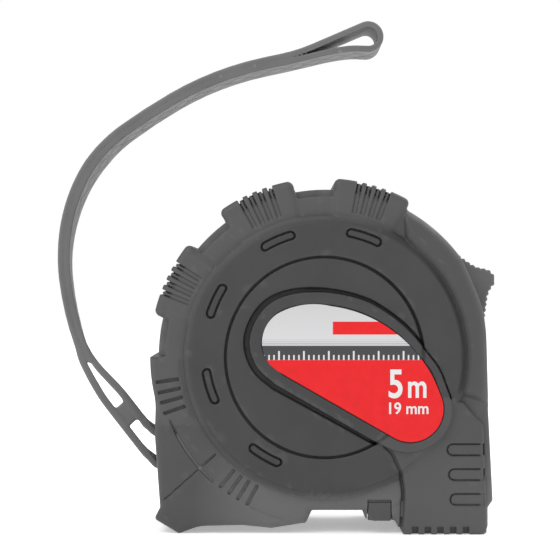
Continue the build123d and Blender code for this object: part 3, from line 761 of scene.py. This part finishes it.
def dial_field(plan, depth):
    """Round dial with a bevel, a ring groove and five vent slots."""
    radius = plan["radius"]
    bevel = (radius - DIAL_R + depth - DIAL_TOP + DIAL_BEVEL) * math.sqrt(0.5)
    dial = np.maximum(slab(radius - DIAL_R, depth, DIAL_TOP, rounding=0.1), bevel)
    dial = carve(dial, plan["ring"], deep=0.25)
    dial = carve(dial, np.abs(plan["ring"]) - 0.24, deep=0.7, soft=0.15)
    for angle in SLOT_ANGLES:
        slot = slot_field(plan, angle)
        dial = carve(dial, slot, deep=0.25, soft=0.12)
        dial = carve(dial, np.abs(slot) - 0.17, deep=0.65, soft=0.12)
    return dial


def corners_and_band(plan, depth):
    """Square corners, then the round band over them, with windows between the lugs."""
    radius, angle, outline = plan["radius"], plan["angle"], plan["outline"]
    body = slab(outline, depth, CORNER_TOP, rounding=1.5)
    band = slab(np.maximum(radius - BAND_R, outline), depth, BAND_TOP, rounding=1.6)
    body = smooth_union(body, band, blend=0.25)
    for window in WINDOWS:
        notch = np.maximum(sector(plan, *window), WINDOW_R - radius)
        body = smooth_cut(body, notch, blend=0.5)
    # channel round the middle of the case, above the foot and the heel
    body = np.maximum(body, -np.maximum(depth - CHANNEL[0], CHANNEL[1] - plan["z"]))
    # corner panel's seams and the grooves over the lower band
    for half, start, end, deep in CREASES:
        crease = common(np.abs(radius - BAND_R) - half, start - angle, angle - end)
        body = carve(body, crease, deep)
    for angles, inner, outer, half, deep in (
        ((PANEL_SEAM,), 29.6, 34.0, 0.18, 0.6),
        ((PANEL_SEAM,), 33.8, 43.7, 0.1, 0.35),
        (BASE_GROOVES, BAND_IN, 33.8, 0.3, 0.6),
    ):
        body = radial_grooves(plan, body, angles, inner, outer, half, deep)
    ridge = common(away(plan, RIDGE[0]) - 0.05, RIDGE[1] - radius, radius - RIDGE[2])
    return smooth_union(body, np.maximum(ridge, body - 0.12), blend=0.15)


def add_lugs(plan, body, depth):
    """The three lugs and the grooved block at the heel."""
    for lug in LUGS:
        body = smooth_union(body, lug_field(plan, depth, lug), blend=0.8)
    start, end, inner, outer = HEEL
    radius = plan["radius"]
    block = common(sector(plan, start, end), inner - radius, radius - outer)
    block = slab(block, depth, BAND_TOP + 0.3, rounding=1.4)
    body = smooth_union(body, block, blend=0.6)
    return radial_grooves(plan, body, HEEL_GROOVES, 29.9, 34.6, half=0.34, deep=0.5)


def add_shoulder(plan, body, depth):
    """The shoulder over the lock, with a valley between it and the dial."""
    turn = (plan["angle"] + 180) % 360 - 180
    inner = SHOULDER_IN + 6.2 * np.clip((turn - 47) / 15, 0, 1) ** 3
    shoulder = common(inner - plan["radius"], plan["outline"], sector(plan, *SHOULDER))
    rise = slab(shoulder, depth, SHOULDER_TOP, rounding=3.3)
    return smooth_union(body, np.maximum(rise, CHANNEL[0] - depth), blend=0.3)


def add_front_panel(plan, body, depth):
    """The raised front panel with its finger grips and the notched foot."""
    x, z = plan["x"], plan["z"]
    edge = common(np.abs(plan["panel"] - 0.25) - 0.3, x + 4.0, z - 19.5)
    body = carve(body, edge, deep=0.45)
    panel = slab(np.maximum(plan["panel"], plan["outline"]), depth, PANEL_TOP, rounding=0.8)
    body = smooth_union(body, panel, blend=0.2)
    for left, height in GRIPS:
        grip = grip_field(plan, left, height)
        body = carve(body, np.maximum(grip, x - 8.9), deep=0.3)
        line = np.maximum(np.abs(grip + 0.05) - 0.12, x - GRIP_LINES_END)
        body = carve(body, line, deep=0.5, soft=0.15)
    first, pitch, count = NOTCHES
    for k in range(count):
        across = np.abs(x - (first + pitch * k)) - NOTCH_HALF
        notch = common(across, z - NOTCH_HEIGHT, 15.2 + 0.6 * z - depth)
        body = smooth_cut(body, notch, blend=0.25)
    return body


def add_label_seat(plan, body, depth):
    """The label's rim with its moat and groove, and the seat that slopes to the label."""
    gap, width = plan["label"], rim_width(plan)
    body = carve(body, moat_field(plan), deep=0.65, soft=0.3)
    rim = slab(gap - width, depth, RIM_TOP, rounding=0.3)
    body = smooth_union(body, rim, blend=0.15)
    groove = common(np.abs(gap - width) - 0.14, RIM_GROOVE_LOW - plan["z"], -plan["ring"])
    body = carve(body, groove, deep=0.5, soft=0.12)
    slope = (PLATE_TOP + 0.23 * gap - depth) * 0.97
    body = smooth_cut(body, np.maximum(slope, gap - 1.25), blend=0.12)
    return np.maximum(body, -np.maximum(gap, LABEL_SEAT - depth))


def cover_solid(plan, x, depth, z, side):
    """Field of one rubber cover."""
    body = corners_and_band(plan, depth)
    body = add_lugs(plan, body, depth)
    body = add_shoulder(plan, body, depth)
    body = smooth_union(body, dial_field(plan, depth), blend=0.12)
    body = add_front_panel(plan, body, depth)
    if side == 1:
        body = add_label_seat(plan, body, depth)
    # hollows for the hard shell, the strap, the mouth and the brake button
    body = np.maximum(body, -np.maximum(plan["shell"] - 0.06, depth - SHELL_FACE))
    for low, high in HOLLOWS:
        body = smooth_cut(body, box_field(x, depth, z, low, high), blend=0.15)
    if side == -1:
        for spot_x, spot_z, hole in SCREW_SPOTS:
            well = np.hypot(x - spot_x, z - spot_z) - hole
            body = smooth_cut(body, np.maximum(well, WELL_FLOOR - depth), blend=0.3)
    return np.maximum(body, -depth)


def line(gap, width):
    """A soft line where a gap is nought."""
    return np.exp(-((gap / width) ** 2))


def cover_shade(plan, depth, side):
    """From 0 to 1, how far painted shade darkens the narrow grooves, creases and recesses of a
    cover.
    """
    radius, angle, x, z = (plan[key] for key in ("radius", "angle", "x", "z"))
    swell = np.clip((x + 23.0) / 18.0, 0, 1)
    # painted shade: each entry darkens a groove, slot, seam, crease or the label's moat
    shades = [(0.55 + 0.4 * swell) * line(plan["ring"], 0.28 + 0.14 * swell)]
    for middle in SLOT_ANGLES:
        slot = slot_field(plan, middle)
        shades += [0.7 * line(slot, 0.22), 0.2 * (slot < 0)]
    for lug in LUGS:
        for middle in lug_angles(lug):
            mark = line(away(plan, middle) - RIB_LINE, 0.2)
            shades.append(0.5 * mark * (radius > 29.5) * (radius < 34.8))
    for strength, width, inner, outer, angles in (
        (1.0, 0.25, 29.4, 33.9, BASE_GROOVES),
        (0.7, 0.3, 29.9, 34.6, HEEL_GROOVES),
        (1.0, 0.18, 29.6, 34.0, (PANEL_SEAM,)),
        (0.35, 0.14, 34.0, 43.0, (PANEL_SEAM,)),
    ):
        for middle in angles:
            mark = line(away(plan, middle), width)
            shades.append(strength * mark * (radius > inner) * (radius < outer))
    for strength, width, start, end in ((1.0, 0.25, 202, 226), (0.25, 0.16, 243, 256)):
        mark = line(radius - BAND_R, width)
        shades.append(strength * mark * (angle > start) * (angle < end))
    # painted shade on the dial's bevel beside the shoulder, which faces away from the light
    turn = (angle + 180) % 360 - 180
    valley = np.interp(radius, (26.9, 27.5, 28.5, 29.2), (0, 1, 1, 0))
    shades.append(0.42 * valley * np.interp(turn, (-16, -15, 35, 55), (0, 1, 1, 0)))
    shades.append(0.45 * line(plan["panel"] - 0.3, 0.3) * (x < -5.0) * (z < 18.0))
    for grip in GRIPS:
        shades.append(0.28 * line(grip_field(plan, *grip) + 0.05, 0.18) * (x < GRIP_LINES_END))
    if side == 1:
        gap, width = plan["label"], rim_width(plan)
        shades.append(0.9 * line(gap - width, 0.16) * (plan["ring"] > 0) * (z > RIM_GROOVE_LOW))
        shades.append(np.clip(0.5 - moat_field(plan) / 0.3, 0, 1) * (gap > width - 0.1))
    return np.maximum.reduce(shades) * (depth > 13.5)


def cover_bloom(plan):
    """From 0 to 1, how far painted light makes the rubber paler: the band outside the dial, the
    dial's bevel, the panel and the lower faces.
    """
    radius, x, z, on_panel = plan["radius"], plan["x"], plan["z"], plan["panel"] < 0.3
    # painted light: the band outside the dial is paler than the dial
    faces = np.interp(radius, (27.8, 29.6), (0.0, 0.36))
    turn = (plan["angle"] + 180) % 360 - 180
    beside_lock = np.interp(np.abs(turn - 25), (35, 50), (1, 0))
    # painted shade beside the shoulder over the lock
    faces = faces - 0.2 * beside_lock * np.interp(radius, (29, 33), (1, 0.3))
    # painted highlight along the dial's bevel, except beside the shoulder
    edge = np.interp(radius, (27.4, 27.9, 28.6, 29.2), (0, 0.3, 0.3, 0))
    faces = np.maximum(faces, edge * (1 - beside_lock))
    faces = np.where(on_panel, 0.24, faces)
    # painted shade: darker at the lower left
    faces = faces - 0.12 * np.interp(x, (-50, -42), (1, 0)) * (z < 22)
    # painted light from below on the lower faces, less on the panel
    low = np.interp(z, (1, 9, 18), (0.55, 0.45, 0.0))
    low = low * np.interp(x, (-50, -36), (0.0, 1.0)) * (radius > 28.4)
    return np.clip(faces + low * np.where(on_panel, 0.3, 1.0), 0, 1)


def bore_spots():
    """Middles and radii of the screws' wells, from the CAD screws and the reel."""
    points = np.array([v.co[:] for v in nodes["case_screws"].data.vertices]) / MM
    spots = []
    for p in points:
        for spot in spots:
            if math.hypot(p[0] - spot[0][0], p[2] - spot[0][2]) < SAME_SCREW:
                spot.append(p)
                break
        else:
            spots.append([p])
    found = []
    for spot in spots:
        low, high = np.min(spot, 0), np.max(spot, 0)
        found.append(((low[0] + high[0]) / 2, (low[2] + high[2]) / 2, SCREW_WELL))
    return [*found, (*REEL, CLIP_WELL)]


SCREW_SPOTS = bore_spots()


def build_cover(name, node, side):
    """One rubber cover as a mesh that stands for its CAD node."""

    def solid(plan, x, depth, z):
        return cover_solid(plan, x, depth, z, side)

    cover = thin_out(net_object(name, cover_plan, solid, *COVER_BOX, GRID, side))
    points = point_array(cover) / MM
    plan = cover_plan(points[:, 0], points[:, 2])
    # painted shade and painted light, kept as point attributes that the rubber's material reads
    shade = cover_shade(plan, np.abs(points[:, 1]), side)
    for key, values in (("shade", shade), ("painted_light", cover_bloom(plan))):
        layer = cover.data.attributes.new(key, "FLOAT", "POINT")
        layer.data.foreach_set("value", values.astype(np.float32))
    finish(cover, rubber, "case", node)


build_cover("front_cover_skin", "front_cover", 1)
build_cover("rear_cover_skin", "rear_cover", -1)

# --- wrist strap ----------------------------------------------------------------
LAYER = 1.25
STRAP_HALF = 5.75
BAND_BENDS = ((68.0, -12.0), (34.5, -30.5), (29.9, -30.3), (116.6, -5.9), (64.0, -18.2))
FOLD_BENDS = ((33.0, 11.2), (0, 11.4), (2.55, -200.7))


def walk(start, heading, moves):
    """Points along arcs (radius, angle) and straights (0, length), and the last heading."""
    points = [np.array(start, float)]
    heading = math.radians(heading)
    for radius, amount in moves:
        if radius == 0:
            points.append(points[-1] + amount * np.array([math.cos(heading), math.sin(heading)]))
            continue
        sweep = math.radians(amount)
        steps = max(2, int(abs(amount) / 3))
        turn = math.copysign(radius, sweep)
        middle = points[-1] + turn * np.array([-math.sin(heading), math.cos(heading)])
        for t in np.linspace(0, 1, steps + 1)[1:]:
            a = heading + t * sweep
            points.append(middle + turn * np.array([math.sin(a), -math.cos(a)]))
        heading += sweep
    return np.array(points), math.degrees(heading)


def beside(path, gap):
    """A path moved to its left by a gap."""
    along = np.gradient(path, axis=0)
    along /= np.hypot(along[:, 0], along[:, 1])[:, None]
    return path + gap * np.c_[-along[:, 1], along[:, 0]]


band, band_heading = walk((-73.7, 38.1), 108.9, (*BAND_BENDS, (0, 4.0)))
outer = beside(band, LAYER / 2)
inner = beside(band, -LAYER / 2)
fold = walk(outer[-1], band_heading, FOLD_BENDS)[0]
back = through([fold[-1], (-17.6, 99.0), (-22.1, 98.35), (-26.6, 97.3), inner[-1]], 8)
left_leg = [
    (-54.4, 12.9), (-57.2, 12.9), (-59.2, 14.2), (-67.5, 24.8), (-70.3, 28.9), (-73.3, 34.6),
]
right_leg = [
    (-71.8, 35.9), (-69.8, 33.2), (-65.4, 28.4), (-61.5, 23.4), (-60.2, 21.6), (-58.6, 19.9),
    (-56.8, 18.9), (-54.4, 18.4),
]
strap_path = np.concatenate(
    [
        through([*left_leg, outer[0]], 6)[:-1],
        outer,
        fold[1:],
        back[1:-1],
        inner[::-1],
        through([inner[0], *right_leg], 6)[1:],
    ]
)
# the web where the legs part, and the bridge between them
web_loop = np.array([(-74.2, 37.8), (-73.2, 34.9), (-71.9, 34.5), (-71.2, 34.9), (-72.4, 37.8)])
bridge_loop = fillet_loop(
    [
        (-67.9, 25.2, 0), (-66.4, 25.0, 0.5), (-65.0, 26.2, 0.6), (-65.0, 28.3, 0),
        (-61.0, 23.0, 0), (-62.4, 22.4, 0.6), (-63.7, 21.2, 0.6), (-64.5, 20.4, 0),
    ]
)
ROOT = ((-56.6, -53.0), (12.3, 21.1))  # the block that the legs end in
PIN = (-52.5, 16.7)
EYE_R = 2.9
PIN_HOLE = 1.58
DIAMOND = 8.5  # length of the relief's diamonds
DIAMOND_HALF = 3.4
RELIEF = 0.13
LEAN_AWAY = 400  # how far in front the strap's edges lean towards
LEAN_CENTRE = (-32.3, 51.3)
STRAP_BOX = ((-80.2, -6.3, 8.8), (-9.5, 6.3, 106.0))


def strap_plan(x, z):
    """Flat fields of the strap at x, z."""
    gap, along, aside = path_field(x, z, strap_path)
    return {
        "gap": gap,
        "along": along,
        "aside": aside,
        "leg": np.interp(z, (30, 40), (0.16, 0.0)) * np.clip((-57.5 - x) / 3, 0, 1),
        "bridge": np.minimum(loop_field(x, z, bridge_loop), loop_field(x, z, web_loop)),
        "root": common(ROOT[0][0] - x, x - ROOT[0][1], ROOT[1][0] - z, z - ROOT[1][1]),
        "eye": np.hypot(x - PIN[0], z - PIN[1]),
    }


def strap_solid(plan, x, depth, z):
    """Field of the strap: one band bent back on itself, with a bridge and an eye."""
    deep = np.abs(depth)
    # raised diamonds along the band, as two crossing zigzags
    phase = plan["along"] / DIAMOND
    wave = DIAMOND_HALF * (np.abs((phase % 1) * 2 - 1) * 2 - 1)
    mark = np.minimum(np.abs(depth - wave), np.abs(depth + wave))
    relief = RELIEF * line(mark, 0.45) * (deep < 4.6) * (plan["aside"] > 0)
    band_edge = plan["gap"] - LAYER / 2 - plan["leg"] + relief
    body = slab(band_edge, deep, STRAP_HALF, rounding=0.3)
    for part, blend in (
        (plan["bridge"], 0.4), (plan["root"], 0.6), (plan["eye"] - EYE_R, 0.5)
    ):
        body = smooth_union(body, slab(part, deep, STRAP_HALF, rounding=0.3), blend)
    return np.maximum(body, PIN_HOLE - plan["eye"])


def build_strap():
    """The wrist strap, gently twisted along its length."""
    step = 0.27
    strap = thin_out(net_object("strap", strap_plan, strap_solid, *STRAP_BOX, step))
    points = point_array(strap)
    x, z = points[:, 0] / MM, points[:, 2] / MM
    lean = np.interp(z, (10, 36, 57, 76, 88, 95), (1.0, 1.0, 0.5, -0.5, -0.3, -0.3))
    lean *= np.where(z < 40, np.clip((-57.5 - x) / 2.5, 0, 1), 1)
    sway = np.clip((-57.8 - x) / 3.0, 0, 1) * np.interp(z, (40, 80), (1, 0))
    points[:, 0] -= np.interp(z, (20, 35, 50, 80), (0.2, 0.35, 0.5, 0.5)) * sway * MM
    points[:, 2] -= 0.6 * sway * MM
    points[:, 0] += lean * (x - LEAN_CENTRE[0]) / LEAN_AWAY * points[:, 1]
    points[:, 2] += lean * (z - LEAN_CENTRE[1]) / LEAN_AWAY * points[:, 1]
    strap.data.vertices.foreach_set("co", points.astype(np.float32).ravel())
    strap.data.update()
    finish(strap, strap_rubber, "strap", "wrist_strap")


build_strap()

# --- thumb lock -----------------------------------------------------------------
LOCK_SOLE = 32.72
LOCK_SPAN = (10.9, 38.7)
LOCK_HALF = 6.0
LOCK_PARTS = (  # angles, radii and half width of the neck, the arm and the wedge
    ((19.0, 27.0), 27.4, 33.2, 2.4),
    ((-41.5, 27.0), 27.4, 28.5, 5.0),
    ((-41.5, -38.3), 27.4, 34.8, 4.0),
)
LOCK_BOX = ((-4.5, -6.4, 10.0), (13.6, 6.4, 59.0))
SERRATION = 1.15  # pitch of the scallops, in millimetres


def scalloped(points, height=0.36):
    """A path with round bumps on its left side, as the serrations of the lock."""
    dense = through(points, 40)
    steps = np.hypot(*np.diff(dense, axis=0).T)
    along = np.concatenate([[0], np.cumsum(steps)])
    pitch = along[-1] / round(along[-1] / SERRATION)
    bumps = height * np.abs(np.sin(math.pi * along / pitch)) - height / 2
    slope = np.gradient(dense, axis=0)
    slope /= np.hypot(slope[:, 0], slope[:, 1])[:, None]
    return dense - bumps[:, None] * np.c_[-slope[:, 1], slope[:, 0]]


lock_loop = np.concatenate(
    [
        arc_points(REEL, LOCK_SOLE, LOCK_SPAN[1], LOCK_SPAN[0], 24),
        scalloped([(9.8, 42.2), (10.2, 45.2), (10.8, 48.6), (12.2, 50.8)])[2:],
        scalloped([(12.2, 51.8), (10.9, 53.2), (8.3, 53.9), (5.6, 55.6), (3.5, 57.3)])[:-2],
    ]
)


def lock_plan(x, z):
    """Flat fields of the thumb lock at x, z."""
    return {
        "head": loop_field(x, z, lock_loop),
        "radius": np.hypot(x - REEL[0], z - REEL[1]),
        "angle": np.degrees(np.arctan2(z - REEL[1], x - REEL[0])) % 360,
    }


def lock_solid(plan, x, depth, z):
    """Field of the thumb lock: pad, neck, arm along the wall and the wedge."""
    deep = np.abs(depth)
    radius = plan["radius"]
    body = slab(plan["head"], deep, LOCK_HALF, rounding=0.5)
    for span, inner, outer, half in LOCK_PARTS:
        part = common(inner - radius, radius - outer, sector(plan, *span), deep - half)
        body = smooth_union(body, part, blend=0.2)
    return body


def build_lock():
    """The thumb lock as one rubber-faced piece."""
    step = 0.25
    lock = net_object("lock", lock_plan, lock_solid, *LOCK_BOX, step)
    finish(thin_out(lock), lock_rubber, "lock", "thumb_lock")


build_lock()

# --- brake button ---------------------------------------------------------------
BUTTON = ((-14.5, -9.9), (2.6, 6.3))
BUTTON_FACE = 15.4
CHEEK_BACK = 13.95
PLATE = (3.6, 15.0)  # top and half length
POST = (-12.2, 1.4, 2.65, 6.2, 4.0)  # middle x, half width, lowest and highest z, half length
FLANGE = (14.91, 0.15, 4.85, 2.15, 2.4)  # middle and half of its depth and z, half width
BUTTON_BOX = ((-15.0, -15.9, 2.2), (-9.4, 15.9, 7.3))
SPRING_ENDS = (-14.2, -10.2)
SPRING_FOOT = 3.65
SPRING_CROWN = 5.0
SPRING_SHEET = 0.25
SPRING_LEAVES = ((7.5, 10.5), (-10.5, -7.5))
SPRING_STEPS = 25


def button_plan(x, z):
    """Flat field of the brake button's cheeks, with one corner rounded more."""
    (left, right), (low, high) = BUTTON
    middle_x, middle_z = (left + right) / 2, (low + high) / 2
    corner = np.where(x < middle_x, 1.2, 0.3)
    corner = np.where(z < middle_z, corner, 0.15)
    qx = np.abs(x - middle_x) - (right - left) / 2 + corner
    qz = np.abs(z - middle_z) - (high - low) / 2 + corner
    outside = np.hypot(np.maximum(qx, 0), np.maximum(qz, 0))
    return {"cheek": outside + np.minimum(np.maximum(qx, qz), 0) - corner}


def button_solid(plan, x, depth, z):
    """Field of the button: a plate with a cheek at each end and a post in the middle."""
    deep = np.abs(depth)
    cheek = slab(plan["cheek"], deep, BUTTON_FACE, rounding=0.2)
    cheek = np.maximum(cheek, CHEEK_BACK - deep)
    plate = common(plan["cheek"], z - PLATE[0], deep - PLATE[1])
    middle, half, low, high, length = POST
    post = common(np.abs(x - middle) - half, z - high, low - z, deep - length)
    at, thin, height, tall, wide = FLANGE
    flange = common(np.abs(deep - at) - thin, np.abs(z - height) - tall, np.abs(x - middle) - wide)
    return smooth_union(cheek, np.minimum(np.minimum(plate, post), flange), blend=0.1)


def build_button():
    """The brake button, flush with the band that it sits in."""
    step = 0.16
    button = net_object("button", button_plan, button_solid, *BUTTON_BOX, step)
    finish(thin_out(button), button_plastic, "brake", "brake_button")


build_button()


def build_leaf_springs():
    """Two bowed leaves over the button."""
    left, right = SPRING_ENDS
    xs = np.linspace(left, right, SPRING_STEPS)
    bend = 1 - ((xs - (left + right) / 2) / (right - left) * 2) ** 2
    bow = SPRING_FOOT + (SPRING_CROWN - SPRING_FOOT) * bend
    points, faces = [], []
    for near, far in SPRING_LEAVES:
        base = len(points)
        last = base + 4 * (SPRING_STEPS - 1)
        for x, z in zip(xs, bow):
            top = z + SPRING_SHEET
            points += [(x, near, z), (x, far, z), (x, far, top), (x, near, top)]
        for a in range(base, last, 4):
            for i in range(4):
                j = (i + 1) % 4
                faces.append((a + j, a + 4 + j, a + 4 + i, a + i))
        faces += [(base + 3, base + 2, base + 1, base), (last, last + 1, last + 2, last + 3)]
    springs = mesh_object("leaf_springs", np.array(points) * MM, np.array(faces), smooth=False)
    finish(springs, blued_steel, "case", "brake_spring")
    top = (SPRING_CROWN + SPRING_SHEET) * MM
    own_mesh(springs)


build_leaf_springs()

# --- printed label --------------------------------------------------------------
LABEL_RED = (0.64, 0.007, 0.010)
LABEL_PALE = (0.46, 0.46, 0.465)
LABEL_DARK = (0.045, 0.045, 0.048)
LABEL_FACE = 17.7  # depth of the label's printed face
WORDS_SUNK = 0.01
LABEL_SKY = (0.52, 0.52, 0.53)  # just over the dark band
LABEL_LINES = (0.12, 0.12, 0.125)
LABEL_MARKS = (0.58, 0.58, 0.59)
BAND_Z = (35.2, 38.0)
FLAG_Z = (40.3, 42.9)
FLAG_X = -21.7
LABEL_WORDS = (  # words, then the lowest and highest corner that they fill
    ("label_length", "5", (-10.5, 27.5), (-7.7, 33.3)),
    ("label_length_unit", "m", (-6.6, 27.6), (-2.9, 30.9)),
    ("label_width", "19 mm", (-10.4, 24.3), (-2.5, 26.7)),
)


def compute(tree, operation, a, b=None):
    """Result of a maths node; an input is a number or a socket."""
    node = tree.nodes.new("ShaderNodeMath")
    node.operation = operation
    for socket, value in zip(node.inputs, (a, b)):
        if isinstance(value, (int, float)):
            socket.default_value = value
        elif value is not None:
            tree.links.new(value, socket)
    return node.outputs[0]


def times(tree, a, b):
    """Product of two inputs."""
    return compute(tree, "MULTIPLY", a, b)


def within(tree, value, low, high, soft=0.06):
    """One where a value lies between two limits."""
    rise = remap(tree, value, low - soft / 2, low + soft / 2, 0, 1)
    fall = remap(tree, value, high - soft / 2, high + soft / 2, 1, 0)
    return times(tree, rise, fall)


def comb(tree, value, pitch, width):
    """One on narrow stripes at a pitch."""
    cell = compute(tree, "FRACT", compute(tree, "DIVIDE", value, pitch))
    middle = compute(tree, "ABSOLUTE", compute(tree, "SUBTRACT", cell, 0.5))
    half = width / pitch / 2
    return remap(tree, middle, half * 0.7, half * 1.3, 1, 0)


def placed_mm(tree, place):
    """The three object coordinates, in millimetres."""
    split = tree.nodes.new("ShaderNodeSeparateXYZ")
    tree.links.new(place, split.inputs[0])
    return [times(tree, out, 1 / MM) for out in split.outputs]


def print_label():
    """Label print: pale sky, a flag, a dark band with a ruler, and red below."""
    material, tree, shader, place = new_material("label_print")
    x, _, z = placed_mm(tree, place)
    low, high = BAND_Z
    grain = remap(tree, noise(tree, place, 2.0), 0.3, 0.7, 0, 1)
    colour = mix(tree, remap(tree, z, high, 46.5, 0, 1), LABEL_SKY, LABEL_PALE)
    lines = comb(tree, z, pitch=0.42, width=0.16)
    reach = remap(tree, z, high - 0.1, high + 1.6, 1, 0)
    colour = mix(tree, times(tree, lines, reach), colour, LABEL_LINES)
    colour = mix(tree, within(tree, z, low, high), colour, LABEL_DARK)
    short = times(tree, comb(tree, x, 1.0, 0.3), within(tree, z, low, low + 1.0))
    tall = times(tree, comb(tree, x, 5.0, 0.34), within(tree, z, low, low + 1.8))
    colour = mix(tree, compute(tree, "MAXIMUM", short, tall), colour, LABEL_MARKS)
    red = mix(tree, grain, LABEL_RED, tuple(c * 0.90 for c in LABEL_RED))
    ahead = remap(tree, x, FLAG_X - 0.05, FLAG_X + 0.05, 0, 1)
    colour = mix(tree, times(tree, within(tree, z, *FLAG_Z), ahead), colour, red)
    colour = mix(tree, remap(tree, z, low - 0.03, low + 0.03, 1, 0), colour, red)
    tree.links.new(colour, shader.inputs["Base Color"])
    tree.links.new(remap(tree, grain, 0, 1, 0.28, 0.36), shader.inputs["Roughness"])
    shader.inputs["Specular IOR Level"].default_value = 0.25
    bump(tree, shader, noise(tree, place, 0.5), 0.004)
    return material


coat("front_label", print_label())
white_ink = moulded("white_ink", (0.60, 0.60, 0.60), 0.4, relief=0.003, worn=0.0)
black_ink = moulded("black_ink", (0.012, 0.012, 0.012), 0.4, relief=0.003, worn=0.0)


def lettering(name, words, low, high, thickness=0.05):
    """Flat mesh of a few characters, fitted to a rectangle; x right, y up, z out."""
    curve = bpy.data.curves.new(name, "FONT")
    curve.body = words
    curve.offset = 0.018
    curve.extrude = 0.5
    curve.resolution_u = 6
    writing = bpy.data.objects.new(name, curve)
    bpy.context.scene.collection.objects.link(writing)
    ready = writing.evaluated_get(bpy.context.evaluated_depsgraph_get())
    mesh = bpy.data.meshes.new_from_object(ready)
    bpy.data.objects.remove(writing)
    piece = bpy.data.objects.new(name, mesh)
    bpy.context.scene.collection.objects.link(piece)
    points = point_array(piece)
    start, end = points.min(0), points.max(0)
    fitted = (points - start) / (end - start)
    fitted[:, 0] = low[0] + fitted[:, 0] * (high[0] - low[0])
    fitted[:, 1] = low[1] + fitted[:, 1] * (high[1] - low[1])
    fitted[:, 2] *= thickness
    return piece, fitted


def place_points(piece, points):
    """Writes a mesh's points, given in millimetres."""
    piece.data.vertices.foreach_set("co", (points * MM).astype(np.float32).ravel())
    piece.data.update()


def build_label_words():
    """The blade's length and width, in white on the red part of the label."""
    for name, words, low, high in LABEL_WORDS:
        piece, fitted = lettering(name, words, low, high)
        spots = np.c_[fitted[:, 0], -(LABEL_FACE - WORDS_SUNK + fitted[:, 2]), fitted[:, 1]]
        place_points(piece, spots)
        finish(piece, white_ink, "case")


build_label_words()

# --- blade ----------------------------------------------------------------------
BLADE_YELLOW = (0.88, 0.62, 0.025)
BLADE_LOW = 7.15
BLADE_SHEET = 0.25
BLADE_CUP = 1.8
BLADE_HALF = 9.5
ZERO_X = 7.3  # inside face of the hook, where the graduations start
INK = (0.015, 0.015, 0.015)
INK_TO = 9.6  # past the blade's edge
INK_SUNK = 0.02
MARKS = (  # first mark, pitch, width, and where it starts from the blade's middle
    (0.5, 1.0, 0.2, 7.2),
    (2.5, 5.0, 0.22, 6.0),
    (5.0, 10.0, 0.28, 4.4),
)
NUMBER_BOX = ((-1.2, -1.7), (1.2, 1.7))


def lacquer_blade(name, marked):
    """Yellow lacquer, with millimetre marks along both edges if marked."""
    material, tree, shader, place = new_material(name)
    x, y, _ = placed_mm(tree, place)
    mottle = remap(tree, noise(tree, place, 5.0), 0.3, 0.7, 0, 1)
    colour = mix(tree, mottle, BLADE_YELLOW, tuple(c * 0.94 for c in BLADE_YELLOW))
    if marked:
        side = compute(tree, "ABSOLUTE", y)
        ink = 0.0
        for first, pitch, width, start in MARKS:
            run = compute(tree, "SUBTRACT", x, ZERO_X + first)
            marks = times(tree, comb(tree, run, pitch, width), within(tree, side, start, INK_TO))
            ink = compute(tree, "MAXIMUM", ink, marks)
        colour = mix(tree, ink, colour, INK)
    tree.links.new(colour, shader.inputs["Base Color"])
    tree.links.new(remap(tree, mottle, 0, 1, 0.32, 0.40), shader.inputs["Roughness"])
    bump(tree, shader, noise(tree, place, 0.7), 0.003)
    return material


coat("blade", lacquer_blade("blade_print", True))
coat("blade_coil", lacquer_blade("blade_lacquer", False))


def build_blade_numbers():
    """Centimetre numbers on the blade, following its hollow."""
    for count in range(2, 6):
        piece, fitted = lettering(f"blade_number_{count}", str(count), *NUMBER_BOX)
        # the numbers read away from the hook
        x = ZERO_X - 10 * count - fitted[:, 0]
        y = -fitted[:, 1]
        height = BLADE_LOW + BLADE_SHEET + BLADE_CUP * (y / BLADE_HALF) ** 2
        spots = np.c_[x, y, height - INK_SUNK + fitted[:, 2]]
        place_points(piece, spots)
        finish(piece, black_ink, "blade")


build_blade_numbers()

# --- crisp edges of the hard pieces ---------------------------------------------
BEVELS = {
    "belt_clip": 0.15, "clip_screw": 0.2, "case_screws": 0.15, "end_hook": 0.12,
    "hook_rivets": 0.25, "mouth_bumper": 0.15, "strap_pin": 0.15, "front_shell": 0.2,
    "rear_shell": 0.2, "front_label": 0.05,
}
for node, width in BEVELS.items():
    bevel = nodes[node].modifiers.new("edge", "BEVEL")
    bevel.width = width * MM
    bevel.segments = 2
    bevel.limit_method = "ANGLE"
    bevel.angle_limit = math.radians(40)
